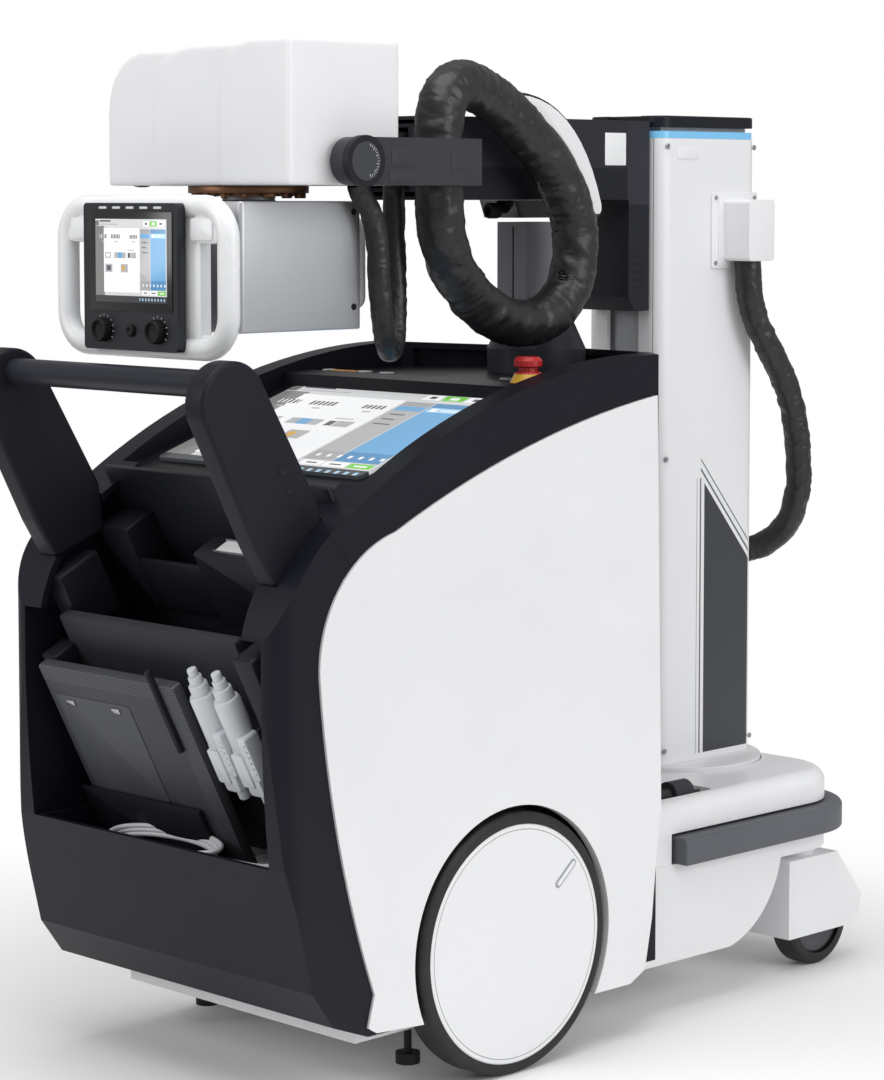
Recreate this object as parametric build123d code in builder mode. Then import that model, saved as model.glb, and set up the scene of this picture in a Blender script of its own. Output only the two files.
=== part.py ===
from build123d import *
import math
import os

# Portable x-ray machine: a motorised cart with a swivelling telescopic column, a telescopic
# arm, and a tube head with its collimator and display. Millimetres. +Z is up, +Y is the way
# the cart drives, +X is its right side. The origin is on the floor under the middle of it.

os.makedirs("parts", exist_ok=True)
SIDES = (("right", 1), ("left", -1))

# Clearances
seat_gap = 0.3            # between pieces that are fixed together
running_gap = 6.0         # between pieces that pass each other
pin_gap = 0.05            # round pins in their bores

# Wheels
track_half = 277.5        # centre plane to the outer face of a drive wheel
drive_wheel_radius = 172.5
drive_wheel_y = -152.0
tyre_width = 46.0
tyre_depth = 15.5
axle_radius = 14.0
axle_inner = 160.0
caster_x = 182.0
caster_y = 540.0
caster_trail = 38.0
caster_wheel_radius = 68.0
caster_wheel_width = 40.0
caster_tread_depth = 12.0
caster_pin_radius = 8.0
caster_stem_radius = 12.0
caster_cover_half = 41.0
caster_cover_wall = 6.0

# Base
base_half_width = 238.0
base_bottom = 77.0
base_top = 215.0
base_front = 600.0
base_corner = 90.0
caster_arch_z = 188.0
caster_arch_start = 328.0
caster_arch_end = 441.0
floor_pan_top = 140.0
floor_pan_rear = -390.0
cover_top = 303.0
cover_skirt_z = 258.0
cover_skirt_start = 200.0
cover_shoulder = 22.0
bumper_half_width = 262.0
bumper_depth = 40.0
bumper_rear = 205.0
bumper_front = 628.0
bumper_corner = 115.0
bumper_bottom = 212.0
bumper_top = 254.0
foot_x = 200.0
foot_y = -274.0
foot_bottom = 25.0
foot_pad_radius = 16.0
foot_pad_height = 14.0
foot_stem_radius = 5.0

# Main body
body_half_width = 272.0
body_wall = 9.0
body_corner = 34.0
body_rear = -554.0
body_front = 288.0
body_bottom = 100.0
body_front_bottom = 325.0
body_rim_z = 922.0
body_front_half = 157.0
body_front_corner_y = 241.0
front_rim = 20.0
strake_inner = 235.0
strake_end_y = 117.0
strake_end_z = 930.0
cavity_half_width = 224.0
panel_face = 275.0
panel_thickness = 12.5
panel_front_y = 128.0
panel_front_top = 876.0
panel_edge = 4.0
wheel_arch_gap = 9.0

# Console and storage
deck_thickness = 14.0
deck_rear = (-388.0, 776.0)
screen_rear = (-361.0, 785.0)
screen_front = (-100.0, 873.6)
screen_half_width = 200.0
screen_thickness = 5.0
bar_front = (-60.0, 897.0)
well_floor_z = 893.0
storage_half_width = 199.7
storage_rear_y = -536.0
storage_floor_z = 605.0
storage_wall = 5.0
bay_bottom_z = 325.0
bin_floor_z = 250.0

# Handle
handle_bar_y = -590.0
handle_bar_z = 917.0
handle_bar_radius = 17.0
paddle_inner = 200.0
paddle_width = 100.0
paddle_foot = (-505.0, 722.0)
paddle_top_radius = 30.0

# Column
column_y = 467.0
column_half_width = 74.0
column_half_depth = 109.0
column_corner = 22.0
column_foot_z = 309.0
column_top = 1236.0
column_wall = 8.0
column_cap_height = 16.0
slot_half_width = 31.0
slot_bottom = 420.0
mast_wall = 6.0
mast_foot_z = 330.0
light_strip_height = 10.0
turntable_radius = 137.0
turntable_seat = 297.0

# Carriage, arm and docking post
arm_axis_z = 1190.0
arm_half_width = 60.0
arm_bottom = 1137.0
arm_top = 1250.0
arm_wall = 5.0
arm_front = -96.0
arm_root = 300.0
arm_stroke = 300.0
pad_length = 45.0
pad_height = running_gap - seat_gap
lift_stroke = 400.0
carriage_bottom = 977.0
carriage_half_width = 56.0
carriage_rear = 308.0
dock_y = 160.0
dock_half_width = 28.0
dock_half_depth = 36.0
dock_top = 1106.0
dock_foot_radius = 70.0
dock_foot_height = 78.0

# Yoke and tube head
pivot_y = -365.0
pivot_z = 1186.0
yoke_outer = 212.0
yoke_inner = 188.0
yoke_plate_rear = -151.0
yoke_plate_depth = 27.0
yoke_half_height = 30.0
roll_pin_radius = 26.0
tilt_pin_radius = 14.0
tilt_disc_radius = 32.0
tilt_disc_height = 10.0
head_half_width = 180.0
head_rear = -267.0
head_front = -455.0
head_bottom = 1156.0
head_top = 1338.0
head_corner = 34.0
collimator_half = 103.0
collimator_bottom = 971.0
collimator_top = 1136.0
collimator_neck_radius = 34.0
collimator_ring_radius = 60.0

# Display
display_half_width = 172.0
display_bottom = 940.0
display_top = 1144.0
display_ring_front = -548.0
display_ring_rear = -522.0
display_front = -562.0
display_rear = -500.0
display_module_half = 92.0
grip_inner = 122.0
display_corner = 40.0

wheel_axis_z = drive_wheel_radius
wheel_inner = track_half - tyre_width


def bend_radii(points):
    """As large an arc at each corner of a hose as its two runs allow."""
    radii = []
    for before, corner, after in zip(points, points[1:], points[2:]):
        run_in = Vector(corner) - Vector(before)
        run_out = Vector(after) - Vector(corner)
        half_turn = math.radians(run_in.get_angle(run_out)) / 2
        radii.append(0.45 * min(run_in.length, run_out.length) / math.tan(half_turn))
    return radii


def hose(name, points, diameter):
    """A hose or cord: one round tube along straight runs joined by arcs."""
    radii = bend_radii(points)
    print(name, "radii", [round(radius) for radius in radii])
    with BuildPart() as tube:
        with BuildLine() as route:
            FilletPolyline(*points, radius=radii)
        path = route.wire()
        with BuildSketch(Plane(origin=path @ 0, z_dir=path % 0)):
            Circle(diameter / 2)
        sweep(path=path)
    section = math.pi * diameter ** 2 / 4
    ratio = tube.part.volume / (section * path.length)
    print(name, "length", round(path.length), "volume over section times length", round(ratio, 4))
    return tube.part


# Base body: the low chassis that carries the drive axle and arches over the casters
with BuildPart() as base_body:
    with BuildSketch(Plane.YZ):
        with BuildLine():
            Polyline(
                (caster_arch_start, base_bottom),
                (panel_front_y + 11, base_bottom),
                (panel_front_y + 11, base_top),
                (base_front, base_top),
                (base_front, caster_arch_z),
                (caster_arch_end, caster_arch_z),
            )
            ThreePointArc(
                (caster_arch_end, caster_arch_z),
                (caster_arch_start + 72, base_bottom + 38),
                (caster_arch_start, base_bottom),
            )
        make_face()
    extrude(amount=base_half_width, both=True)
    fillet(
        base_body.edges().filter_by(Axis.Z).group_by(Axis.Y)[-1],
        base_corner,
    )
    with BuildSketch(Plane.XY.offset(base_bottom)):
        with Locations((0, (panel_front_y + 11 + floor_pan_rear) / 2)):
            Rectangle(2 * (cavity_half_width - seat_gap), panel_front_y + 11 - floor_pan_rear)
    extrude(amount=floor_pan_top - base_bottom)
    with BuildSketch(Plane.YZ):
        with Locations((drive_wheel_y, (wheel_axis_z + 40 + floor_pan_top) / 2)):
            Rectangle(120, wheel_axis_z + 40 - floor_pan_top)
    extrude(amount=cavity_half_width - seat_gap, both=True)
    with BuildSketch(Plane.YZ.offset(axle_inner)):
        with Locations((drive_wheel_y, wheel_axis_z)):
            Circle(axle_radius + pin_gap)
    extrude(amount=cavity_half_width, mode=Mode.SUBTRACT)
    with BuildSketch(Plane.YZ.offset(-axle_inner)):
        with Locations((drive_wheel_y, wheel_axis_z)):
            Circle(axle_radius + pin_gap)
    extrude(amount=-cavity_half_width, mode=Mode.SUBTRACT)
    with BuildSketch(Plane.XY.offset(caster_arch_z)):
        with Locations((caster_x, caster_y), (-caster_x, caster_y)):
            Circle(caster_stem_radius + pin_gap)
    extrude(amount=base_top - caster_arch_z, mode=Mode.SUBTRACT)
base_body.part.label = "base_body"
export_step(base_body.part, "parts/base_body.step")


# Base cover: the white moulding over the chassis, with a pocket for the column's turntable
base_rear = panel_front_y + 11
with BuildPart() as base_cover:
    with BuildSketch(Plane.XY.offset(cover_skirt_z)):
        with Locations((0, (base_rear + base_front) / 2)):
            Rectangle(2 * base_half_width, base_front - base_rear)
    extrude(amount=cover_top - cover_skirt_z)
    fillet(base_cover.edges().filter_by(Axis.Z).group_by(Axis.Y)[-1], base_corner)
    rim = base_cover.edges().group_by(Axis.Z)[-1].filter_by(lambda e: e.center().Y > base_rear + 1)
    fillet(rim, cover_shoulder)
    with BuildSketch(Plane.XY.offset(base_top + seat_gap)):
        with Locations((0, (base_rear + base_front - bumper_depth) / 2)):
            Rectangle(2 * (base_half_width - 26), base_front - bumper_depth - base_rear)
    extrude(amount=cover_skirt_z - base_top - seat_gap)
    with BuildSketch(Plane.XY.offset(base_top + seat_gap)):
        with Locations((0, (base_rear + cover_skirt_start) / 2)):
            Rectangle(2 * base_half_width, cover_skirt_start - base_rear)
    extrude(amount=cover_skirt_z - base_top - seat_gap)
    with BuildSketch(Plane.XY.offset(turntable_seat - seat_gap)):
        with Locations((0, column_y)):
            Circle(turntable_radius + 2)
    extrude(amount=cover_top, mode=Mode.SUBTRACT)
    with BuildSketch(Plane.XY.offset(cover_top - 22)):
        with Locations((186, 240)):
            RectangleRounded(60, 150, 10)
    extrude(amount=cover_top, mode=Mode.SUBTRACT)
base_cover.part.label = "base_cover"
export_step(base_cover.part, "parts/base_cover.step")

# Bumper: a grey rubber horseshoe round the front of the base
with BuildPart() as bumper:
    with BuildSketch(Plane.XY.offset(base_top + seat_gap)) as bumper_plan:
        with Locations((0, (bumper_rear + bumper_front) / 2)):
            Rectangle(2 * bumper_half_width, bumper_front - bumper_rear)
        fillet(bumper_plan.vertices().group_by(Axis.Y)[-1], bumper_corner)
        inner_half = base_half_width - 26 + seat_gap
        inner_front = base_front - bumper_depth + seat_gap
        with Locations((0, inner_front / 2)):
            Rectangle(2 * inner_half, inner_front, mode=Mode.SUBTRACT)
    extrude(amount=bumper_top - base_top - seat_gap)
    fillet(bumper.edges().group_by(Axis.Z)[-1].filter_by(GeomType.CIRCLE), 8)
bumper.part.label = "bumper"
export_step(bumper.part, "parts/bumper.step")

# Rear feet: levelling pads that stop the cart tipping back
for side, sign in SIDES:
    with BuildPart() as rear_foot:
        with BuildSketch(Plane.XY.offset(foot_bottom)):
            with Locations((sign * foot_x, foot_y)):
                Circle(foot_pad_radius)
        extrude(amount=foot_pad_height)
        with BuildSketch(Plane.XY.offset(foot_bottom)):
            with Locations((sign * foot_x, foot_y)):
                Circle(foot_stem_radius)
        extrude(amount=base_bottom - foot_bottom)
    rear_foot.part.label = f"rear_foot_{side}"
    export_step(rear_foot.part, f"parts/rear_foot_{side}.step")

# Drive wheels: a solid tyre, a hub with its white cover disc, and the stub axle in the base
for side, sign in SIDES:
    hub_plane = Plane(origin=(0, drive_wheel_y, wheel_axis_z), x_dir=(sign, 0, 0), z_dir=(0, 0, 1))
    hub_axis = Axis((0, drive_wheel_y, wheel_axis_z), (1, 0, 0))
    rim_radius = drive_wheel_radius - tyre_depth
    with BuildPart() as tyre:
        with BuildSketch(hub_plane) as tyre_profile:
            with Locations((wheel_inner + tyre_width / 2, drive_wheel_radius - tyre_depth / 2)):
                Rectangle(tyre_width, tyre_depth)
            fillet(tyre_profile.vertices().group_by(Axis.Y)[-1], 8)
        revolve(axis=hub_axis)
    tyre.part.label = f"drive_tyre_{side}"
    export_step(tyre.part, f"parts/drive_tyre_{side}.step")
    with BuildPart() as hub:
        with BuildSketch(hub_plane):
            with BuildLine():
                Polyline(
                    (wheel_inner + 4, axle_radius + pin_gap),
                    (wheel_inner + 4, 40),
                    (wheel_inner + 18, 60),
                    (wheel_inner + 18, rim_radius - 14),
                    (wheel_inner + 2, rim_radius - 8),
                    (wheel_inner + 2, rim_radius),
                    (track_half - 1, rim_radius),
                    (track_half, rim_radius - 2),
                    (track_half, 0),
                    (track_half - 8, 0),
                    (track_half - 8, axle_radius + pin_gap),
                    close=True,
                )
            make_face()
        revolve(axis=hub_axis)
    hub.part.label = f"drive_hub_{side}"
    export_step(hub.part, f"parts/drive_hub_{side}.step")
    with BuildPart() as drive_axle:
        with BuildSketch(Plane(hub_plane.origin, x_dir=(0, 1, 0), z_dir=(sign, 0, 0)).offset(axle_inner)):
            Circle(axle_radius)
        extrude(amount=track_half - 10 - axle_inner)
    drive_axle.part.label = f"drive_axle_{side}"
    export_step(drive_axle.part, f"parts/drive_axle_{side}.step")

# Casters: a white cover that swivels on its stem, with the fork walls and axle, and a wheel
wheel_y = caster_y + caster_trail
for side, sign in SIDES:
    with BuildPart() as caster_cover:
        with BuildSketch(Plane.YZ.offset(sign * caster_x)):
            with BuildLine():
                Polyline(
                    (caster_y - 60, 56),
                    (caster_y - 60, 172),
                    (caster_y + 52, 172),
                    (caster_y + 112, 98),
                    (caster_y + 106, 72),
                    (caster_y + 92, 56),
                    close=True,
                )
            make_face()
        extrude(amount=caster_cover_half, both=True)
        with BuildSketch(Plane.YZ.offset(sign * caster_x)):
            with Locations((wheel_y, caster_wheel_radius)):
                Circle(caster_wheel_radius + running_gap)
            with Locations((wheel_y, 30)):
                Rectangle(2 * (caster_wheel_radius + running_gap), 80)
        extrude(amount=caster_wheel_width / 2 + running_gap, both=True, mode=Mode.SUBTRACT)
        with BuildSketch(Plane.YZ.offset(sign * caster_x)):
            with Locations((wheel_y, caster_wheel_radius)):
                Circle(caster_pin_radius)
        extrude(amount=caster_cover_half - 2, both=True)
        with BuildSketch(Plane.XY.offset(170)):
            with Locations((sign * caster_x, caster_y)):
                Circle(30)
        extrude(amount=caster_arch_z - 1 - 170)
        with BuildSketch(Plane.XY.offset(170)):
            with Locations((sign * caster_x, caster_y)):
                Circle(caster_stem_radius)
        extrude(amount=base_top - 2 - 170)
    caster_cover.part.label = f"caster_cover_{side}"
    export_step(caster_cover.part, f"parts/caster_cover_{side}.step")
    caster_plane = Plane(origin=(sign * caster_x, wheel_y, caster_wheel_radius), x_dir=(1, 0, 0), z_dir=(0, 0, 1))
    caster_axis = Axis((0, wheel_y, caster_wheel_radius), (1, 0, 0))
    with BuildPart() as caster_wheel:
        with BuildSketch(caster_plane) as caster_profile:
            with Locations((0, (caster_wheel_radius + caster_pin_radius + pin_gap) / 2)):
                Rectangle(caster_wheel_width, caster_wheel_radius - caster_pin_radius - pin_gap)
            fillet(caster_profile.vertices().group_by(Axis.Y)[-1], 8)
            for face in (-1, 1):
                with Locations((face * caster_wheel_width / 2, 36)):
                    Rectangle(12, 30, mode=Mode.SUBTRACT)
        revolve(axis=caster_axis)
    caster_wheel.part.label = f"caster_wheel_{side}"
    export_step(caster_wheel.part, f"parts/caster_wheel_{side}.step")

# Main body side view and plan, shared by the shell and its hollow
with BuildSketch(Plane.YZ) as body_side:
    with BuildLine():
        Polyline((body_front, body_front_bottom), (body_front, body_rim_z), (strake_end_y, strake_end_z))
        ThreePointArc((strake_end_y, strake_end_z), (-130, 895), (-427, 762))
        ThreePointArc((-427, 762), (-515, 690), (body_rear, 610))
        ThreePointArc((body_rear, 610), (body_rear + 2, 455), (body_rear + 12, 325))
        Polyline(
            (body_rear + 12, 325),
            (-505, 170),
            (-470, 122),
            (-412, body_bottom),
            (panel_front_y, body_bottom),
            (panel_front_y, body_front_bottom),
            (body_front, body_front_bottom),
        )
    make_face()
with BuildSketch(Plane.XY) as body_plan:
    with BuildLine():
        Polyline(
            (0, body_rear),
            (body_half_width, body_rear),
            (body_half_width, panel_front_y),
            (body_front_half, body_front_corner_y),
            (0, body_front),
        )
        mirror(about=Plane.YZ)
    make_face()
    fillet(body_plan.vertices().group_by(Axis.Y)[0], body_corner)
with BuildSketch(Plane.XY) as deck_plan:
    add(body_plan.sketch_local)
    offset(amount=-front_rim, mode=Mode.REPLACE)
    with Locations((0, (deck_rear[0] + body_front) / 2)):
        Rectangle(2 * strake_inner, body_front - deck_rear[0], mode=Mode.INTERSECT)
with BuildSketch(Plane.YZ) as panel_outline:
    with BuildLine():
        ThreePointArc((124, panel_front_top), (-120, 823), (-365, 729))
        ThreePointArc((-365, 729), (-462, 664), (-494, 558))
        ThreePointArc((-494, 558), (-466, 365), (-404, 152))
        Polyline(
            (-404, 152),
            (-415, 111),
            (-400, 102),
            (0, 76),
            (74, 76),
            (104, 91),
            (118, 160),
            (panel_front_y, 256),
            (panel_front_y + 8, 310),
            (124, panel_front_top),
        )
    make_face()
with BuildPart() as body_hollow:
    with BuildSketch(Plane.YZ):
        add(body_side.sketch_local)
        offset(amount=-body_wall, mode=Mode.REPLACE)
    extrude(amount=cavity_half_width, both=True)
    with BuildSketch(Plane.XY):
        add(body_plan.sketch_local)
        offset(amount=-body_wall, mode=Mode.REPLACE)
    extrude(amount=body_rim_z + 100, mode=Mode.INTERSECT)
    with BuildSketch(Plane.XY.offset(base_bottom - 10)):
        with Locations((0, (panel_front_y + floor_pan_rear - 2) / 2)):
            Rectangle(2 * cavity_half_width, panel_front_y - floor_pan_rear + 2)
    extrude(amount=floor_pan_top + seat_gap - base_bottom + 10)

# Space over the console deck, shut in by the strakes and the front rim
with BuildPart() as deck_space:
    with BuildSketch(Plane.YZ):
        with BuildLine():
            Polyline(
                (deck_rear[0], deck_rear[1] - deck_thickness),
                (screen_front[0], screen_front[1] - deck_thickness),
                (bar_front[0], well_floor_z - deck_thickness),
                (body_front, well_floor_z - deck_thickness),
                (body_front, 1000),
                (deck_rear[0], 1000),
                close=True,
            )
        make_face()
    extrude(amount=strake_inner, both=True)
    extrude(deck_plan.sketch, amount=1000, mode=Mode.INTERSECT)

# Handle paddle side view, shared by the paddles and their sockets in the shell
with BuildSketch(Plane.YZ) as paddle_side:
    with BuildLine():
        Polyline((-546, 919), (-454, 763), (-446, 700), (-528, 668), (-560, 719), (-640, 876))
        ThreePointArc((-640, 876), (-602, 946), (-546, 919))
    make_face()
    fillet(paddle_side.vertices().sort_by(Axis.Y)[:4], 10)

# Body shell: the dark moulding with the strakes, the rear face and the storage opening
with BuildPart() as body_shell:
    extrude(body_side.sketch, amount=body_half_width, both=True)
    extrude(body_plan.sketch, amount=body_rim_z + 100, mode=Mode.INTERSECT)
    add(body_hollow.part, mode=Mode.SUBTRACT)
    for side, sign in SIDES:
        with BuildSketch(Plane.YZ.offset(sign * (panel_face - panel_thickness))):
            add(panel_outline.sketch_local)
        extrude(amount=sign * panel_thickness, mode=Mode.SUBTRACT)
        with BuildSketch(Plane.YZ.offset(sign * cavity_half_width)):
            with Locations((drive_wheel_y, wheel_axis_z)):
                Circle(drive_wheel_radius + wheel_arch_gap)
        extrude(amount=sign * 100, mode=Mode.SUBTRACT)
        with BuildSketch(Plane.YZ.offset(sign * (paddle_inner - seat_gap))):
            add(paddle_side.sketch_local)
            offset(amount=seat_gap, mode=Mode.REPLACE)
        extrude(amount=sign * (strake_inner - paddle_inner + seat_gap), mode=Mode.SUBTRACT)
    add(deck_space.part, mode=Mode.SUBTRACT)
    with BuildSketch(Plane.YZ):
        with Locations(((deck_rear[0] - 700) / 2, (storage_floor_z + 1000) / 2)):
            Rectangle(700 + deck_rear[0], 1000 - storage_floor_z)
    extrude(amount=paddle_inner - seat_gap, both=True, mode=Mode.SUBTRACT)
    with BuildSketch(Plane.YZ):
        with Locations((-500, (bay_bottom_z + storage_floor_z) / 2)):
            Rectangle(200, storage_floor_z - bay_bottom_z)
    extrude(amount=strake_inner, both=True, mode=Mode.SUBTRACT)
body_shell.part.label = "body_shell"
export_step(body_shell.part, "parts/body_shell.step")

# Side panels: white covers over both flanks, cut round the drive wheels
for side, sign in SIDES:
    with BuildPart() as side_panel:
        with BuildSketch(Plane.YZ.offset(sign * (panel_face - panel_thickness + seat_gap))):
            add(panel_outline.sketch_local)
            offset(amount=-1, mode=Mode.REPLACE)
            with Locations((drive_wheel_y, wheel_axis_z)):
                Circle(drive_wheel_radius + wheel_arch_gap, mode=Mode.SUBTRACT)
        extrude(amount=sign * (panel_thickness - seat_gap))
    side_panel.part.label = f"side_panel_{side}"
    export_step(side_panel.part, f"parts/side_panel_{side}.step")

# Power block: the batteries and the high-voltage generator inside the body, as one mass
with BuildPart() as power_block:
    with BuildSketch(Plane.XY.offset(floor_pan_top)):
        with Locations((0, 10)):
            Rectangle(360, 190)
    extrude(amount=420)
power_block.part.label = "power_block"
export_step(power_block.part, "parts/power_block.step")

# Console deck: the sloping top that holds the screen, the button bar and the well behind it
with BuildPart() as console_deck:
    with BuildSketch(Plane.YZ):
        with BuildLine():
            Polyline(
                deck_rear,
                screen_front,
                (screen_front[0] + 4, bar_front[1] - 4),
                bar_front,
                (bar_front[0] + 8, well_floor_z),
                (body_front, well_floor_z),
                (body_front, well_floor_z - deck_thickness + seat_gap),
                (bar_front[0], well_floor_z - deck_thickness + seat_gap),
                (screen_front[0], screen_front[1] - deck_thickness + seat_gap),
                (deck_rear[0], deck_rear[1] - deck_thickness + seat_gap),
                close=True,
            )
        make_face()
    extrude(amount=strake_inner - seat_gap, both=True)
    with BuildSketch(Plane.XY):
        add(deck_plan.sketch_local)
        offset(amount=-seat_gap, mode=Mode.REPLACE)
    extrude(amount=1000, mode=Mode.INTERSECT)
console_deck.part.label = "console_deck"
export_step(console_deck.part, "parts/console_deck.step")

# Console screen: a glass sheet on the sloping deck
slope = math.atan2(screen_front[1] - screen_rear[1], screen_front[0] - screen_rear[0])
screen_run = math.hypot(screen_front[1] - screen_rear[1], screen_front[0] - screen_rear[0])
screen_plane = Plane(
    origin=(0, screen_rear[0], screen_rear[1] + seat_gap),
    x_dir=(1, 0, 0),
    z_dir=(0, -math.sin(slope), math.cos(slope)),
)
with BuildPart() as console_screen:
    with BuildSketch(screen_plane):
        with Locations((0, screen_run / 2)):
            RectangleRounded(2 * screen_half_width, screen_run - 12, 8)
    extrude(amount=screen_thickness)
console_screen.part.label = "console_screen"
export_step(console_screen.part, "parts/console_screen.step")

# Storage tray: the moulded upper bins behind the handle, open at the top
tray_top = deck_rear[1] - deck_thickness
with BuildPart() as storage_tray:
    with BuildSketch(Plane.YZ):
        with BuildLine():
            Polyline(
                (deck_rear[0] - seat_gap, storage_floor_z + seat_gap),
                (deck_rear[0] - seat_gap, tray_top),
                (-430, tray_top),
                (storage_rear_y, 690),
                (storage_rear_y, storage_floor_z + seat_gap),
                close=True,
            )
        make_face()
    extrude(amount=storage_half_width - seat_gap, both=True)
    for x, half, floor in ((-136, 56, 640), (-8, 60, 625), (128, 64, 640)):
        with BuildSketch(Plane.XY.offset(floor)):
            with Locations((x, (deck_rear[0] - 12 + storage_rear_y + 12) / 2)):
                Rectangle(2 * half, deck_rear[0] - 12 - storage_rear_y - 12)
        extrude(amount=300, mode=Mode.SUBTRACT)
storage_tray.part.label = "storage_tray"
export_step(storage_tray.part, "parts/storage_tray.step")

# Detector bay: the back wall and floor of the lower opening, where the flat detectors stand
with BuildPart() as detector_bay:
    with BuildSketch(Plane.YZ):
        with BuildLine():
            Polyline(
                (-400, bin_floor_z),
                (-400, storage_floor_z - seat_gap),
                (-408, storage_floor_z - seat_gap),
                (-430, bin_floor_z + 6),
                (-512, bin_floor_z + 6),
                (-512, bin_floor_z),
                close=True,
            )
        make_face()
    extrude(amount=strake_inner - 12 - seat_gap, both=True)
detector_bay.part.label = "detector_bay"
export_step(detector_bay.part, "parts/detector_bay.step")

# Detectors: two flat panels standing in the bay, one with a raised back cover
for name, x, y, wide, tall in (("front", -40, -446, 350, 250), ("back", 6, -430.3, 384, 330)):
    with BuildPart() as detector:
        with BuildSketch(Plane(origin=(x, y, bin_floor_z + 6 + seat_gap), x_dir=(1, 0, 0), z_dir=(0, -1, 0))):
            with Locations((0, tall / 2)):
                RectangleRounded(wide, tall, 10)
        extrude(amount=15)
    detector.part.label = f"detector_{name}"
    export_step(detector.part, f"parts/detector_{name}.step")

# Handle: two inclined paddles with a round bar between them
for side, sign in SIDES:
    with BuildPart() as paddle:
        with BuildSketch(Plane.YZ.offset(sign * paddle_inner)):
            add(paddle_side.sketch_local)
        extrude(amount=sign * (strake_inner - paddle_inner - seat_gap))
        fillet(paddle.faces().sort_by(Axis.X)[0].edges(), 6)
        fillet(paddle.faces().sort_by(Axis.X)[-1].edges(), 6)
    paddle.part.label = f"handle_paddle_{side}"
    export_step(paddle.part, f"parts/handle_paddle_{side}.step")
with BuildPart() as handle_bar:
    with BuildSketch(Plane.YZ):
        with Locations((handle_bar_y, handle_bar_z)):
            Circle(handle_bar_radius)
    extrude(amount=paddle_inner - seat_gap, both=True)
handle_bar.part.label = "handle_bar"
export_step(handle_bar.part, "parts/handle_bar.step")

# Emergency stop: a yellow collar and a red mushroom button on the deck's right side
stop_plane = Plane(origin=(210, -62, bar_front[1] + seat_gap), x_dir=(1, 0, 0), z_dir=(0, 0, 1))
with BuildPart() as emergency_stop:
    with BuildSketch(Plane(stop_plane.origin, x_dir=(1, 0, 0), z_dir=(0, -1, 0))):
        with BuildLine():
            Polyline((0, 0), (24, 0), (17, 14), (13, 14), (13, 20), (19, 22), (19, 29), (15, 34), (0, 34), close=True)
        make_face()
    revolve(axis=Axis(stop_plane.origin, (0, 0, 1)))
emergency_stop.part.label = "emergency_stop"
export_step(emergency_stop.part, "parts/emergency_stop.step")

# Docking post: a domed foot on the well's floor and the post that the parked arm comes down to
with BuildPart() as dock_post:
    with BuildSketch(Plane(origin=(0, dock_y + 15, well_floor_z + seat_gap), x_dir=(0, 1, 0), z_dir=(1, 0, 0))):
        with BuildLine():
            Polyline(
                (0, 0),
                (dock_foot_radius, 0),
                (dock_foot_radius, 34),
                (dock_foot_radius - 20, dock_foot_height),
                (0, dock_foot_height),
                close=True,
            )
        make_face()
    revolve(axis=Axis((0, dock_y + 15, 0), (0, 0, 1)))
    with BuildSketch(Plane.XY.offset(well_floor_z + dock_foot_height)):
        with Locations((0, dock_y)):
            Rectangle(2 * dock_half_width, 2 * dock_half_depth)
    extrude(amount=dock_top - well_floor_z - dock_foot_height)
dock_post.part.label = "dock_post"
export_step(dock_post.part, "parts/dock_post.step")

# Turntable: the disc that turns in the base cover and carries the column
with BuildPart() as turntable:
    with BuildSketch(Plane.XY.offset(turntable_seat)):
        with Locations((0, column_y)):
            Circle(turntable_radius)
    extrude(amount=column_foot_z - turntable_seat - seat_gap)
turntable.part.label = "turntable"
export_step(turntable.part, "parts/turntable.step")

# Column: a hollow white extrusion with a slot down its rear face for the carriage
column_rear = column_y - column_half_depth
column_front = column_y + column_half_depth
with BuildPart() as column_outer:
    with BuildSketch(Plane.XY.offset(column_foot_z)):
        with Locations((0, column_y)):
            RectangleRounded(2 * column_half_width, 2 * column_half_depth, column_corner)
            Rectangle(
                2 * (column_half_width - column_wall),
                2 * (column_half_depth - column_wall),
                mode=Mode.SUBTRACT,
            )
    extrude(amount=column_top - light_strip_height - column_foot_z - seat_gap)
    with BuildSketch(Plane.XY.offset(slot_bottom)):
        with Locations((0, column_rear)):
            Rectangle(2 * slot_half_width, 4 * column_wall)
    extrude(amount=column_top, mode=Mode.SUBTRACT)
    with BuildSketch(Plane.XZ.offset(-column_front)):
        with Locations((20, 602)):
            Circle(26)
    extrude(amount=-8)
column_outer.part.label = "column_outer"
export_step(column_outer.part, "parts/column_outer.step")

# Light strip: the pale blue band round the column's top
with BuildPart() as light_strip:
    with BuildSketch(Plane.XY.offset(column_top - light_strip_height)):
        with Locations((0, column_y)):
            RectangleRounded(2 * column_half_width - 2, 2 * column_half_depth - 2, column_corner - 1)
            Rectangle(
                2 * (column_half_width - column_wall),
                2 * (column_half_depth - column_wall),
                mode=Mode.SUBTRACT,
            )
        with Locations((0, column_rear)):
            Rectangle(2 * slot_half_width, 4 * column_wall, mode=Mode.SUBTRACT)
    extrude(amount=light_strip_height)
light_strip.part.label = "light_strip"
export_step(light_strip.part, "parts/light_strip.step")

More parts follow.
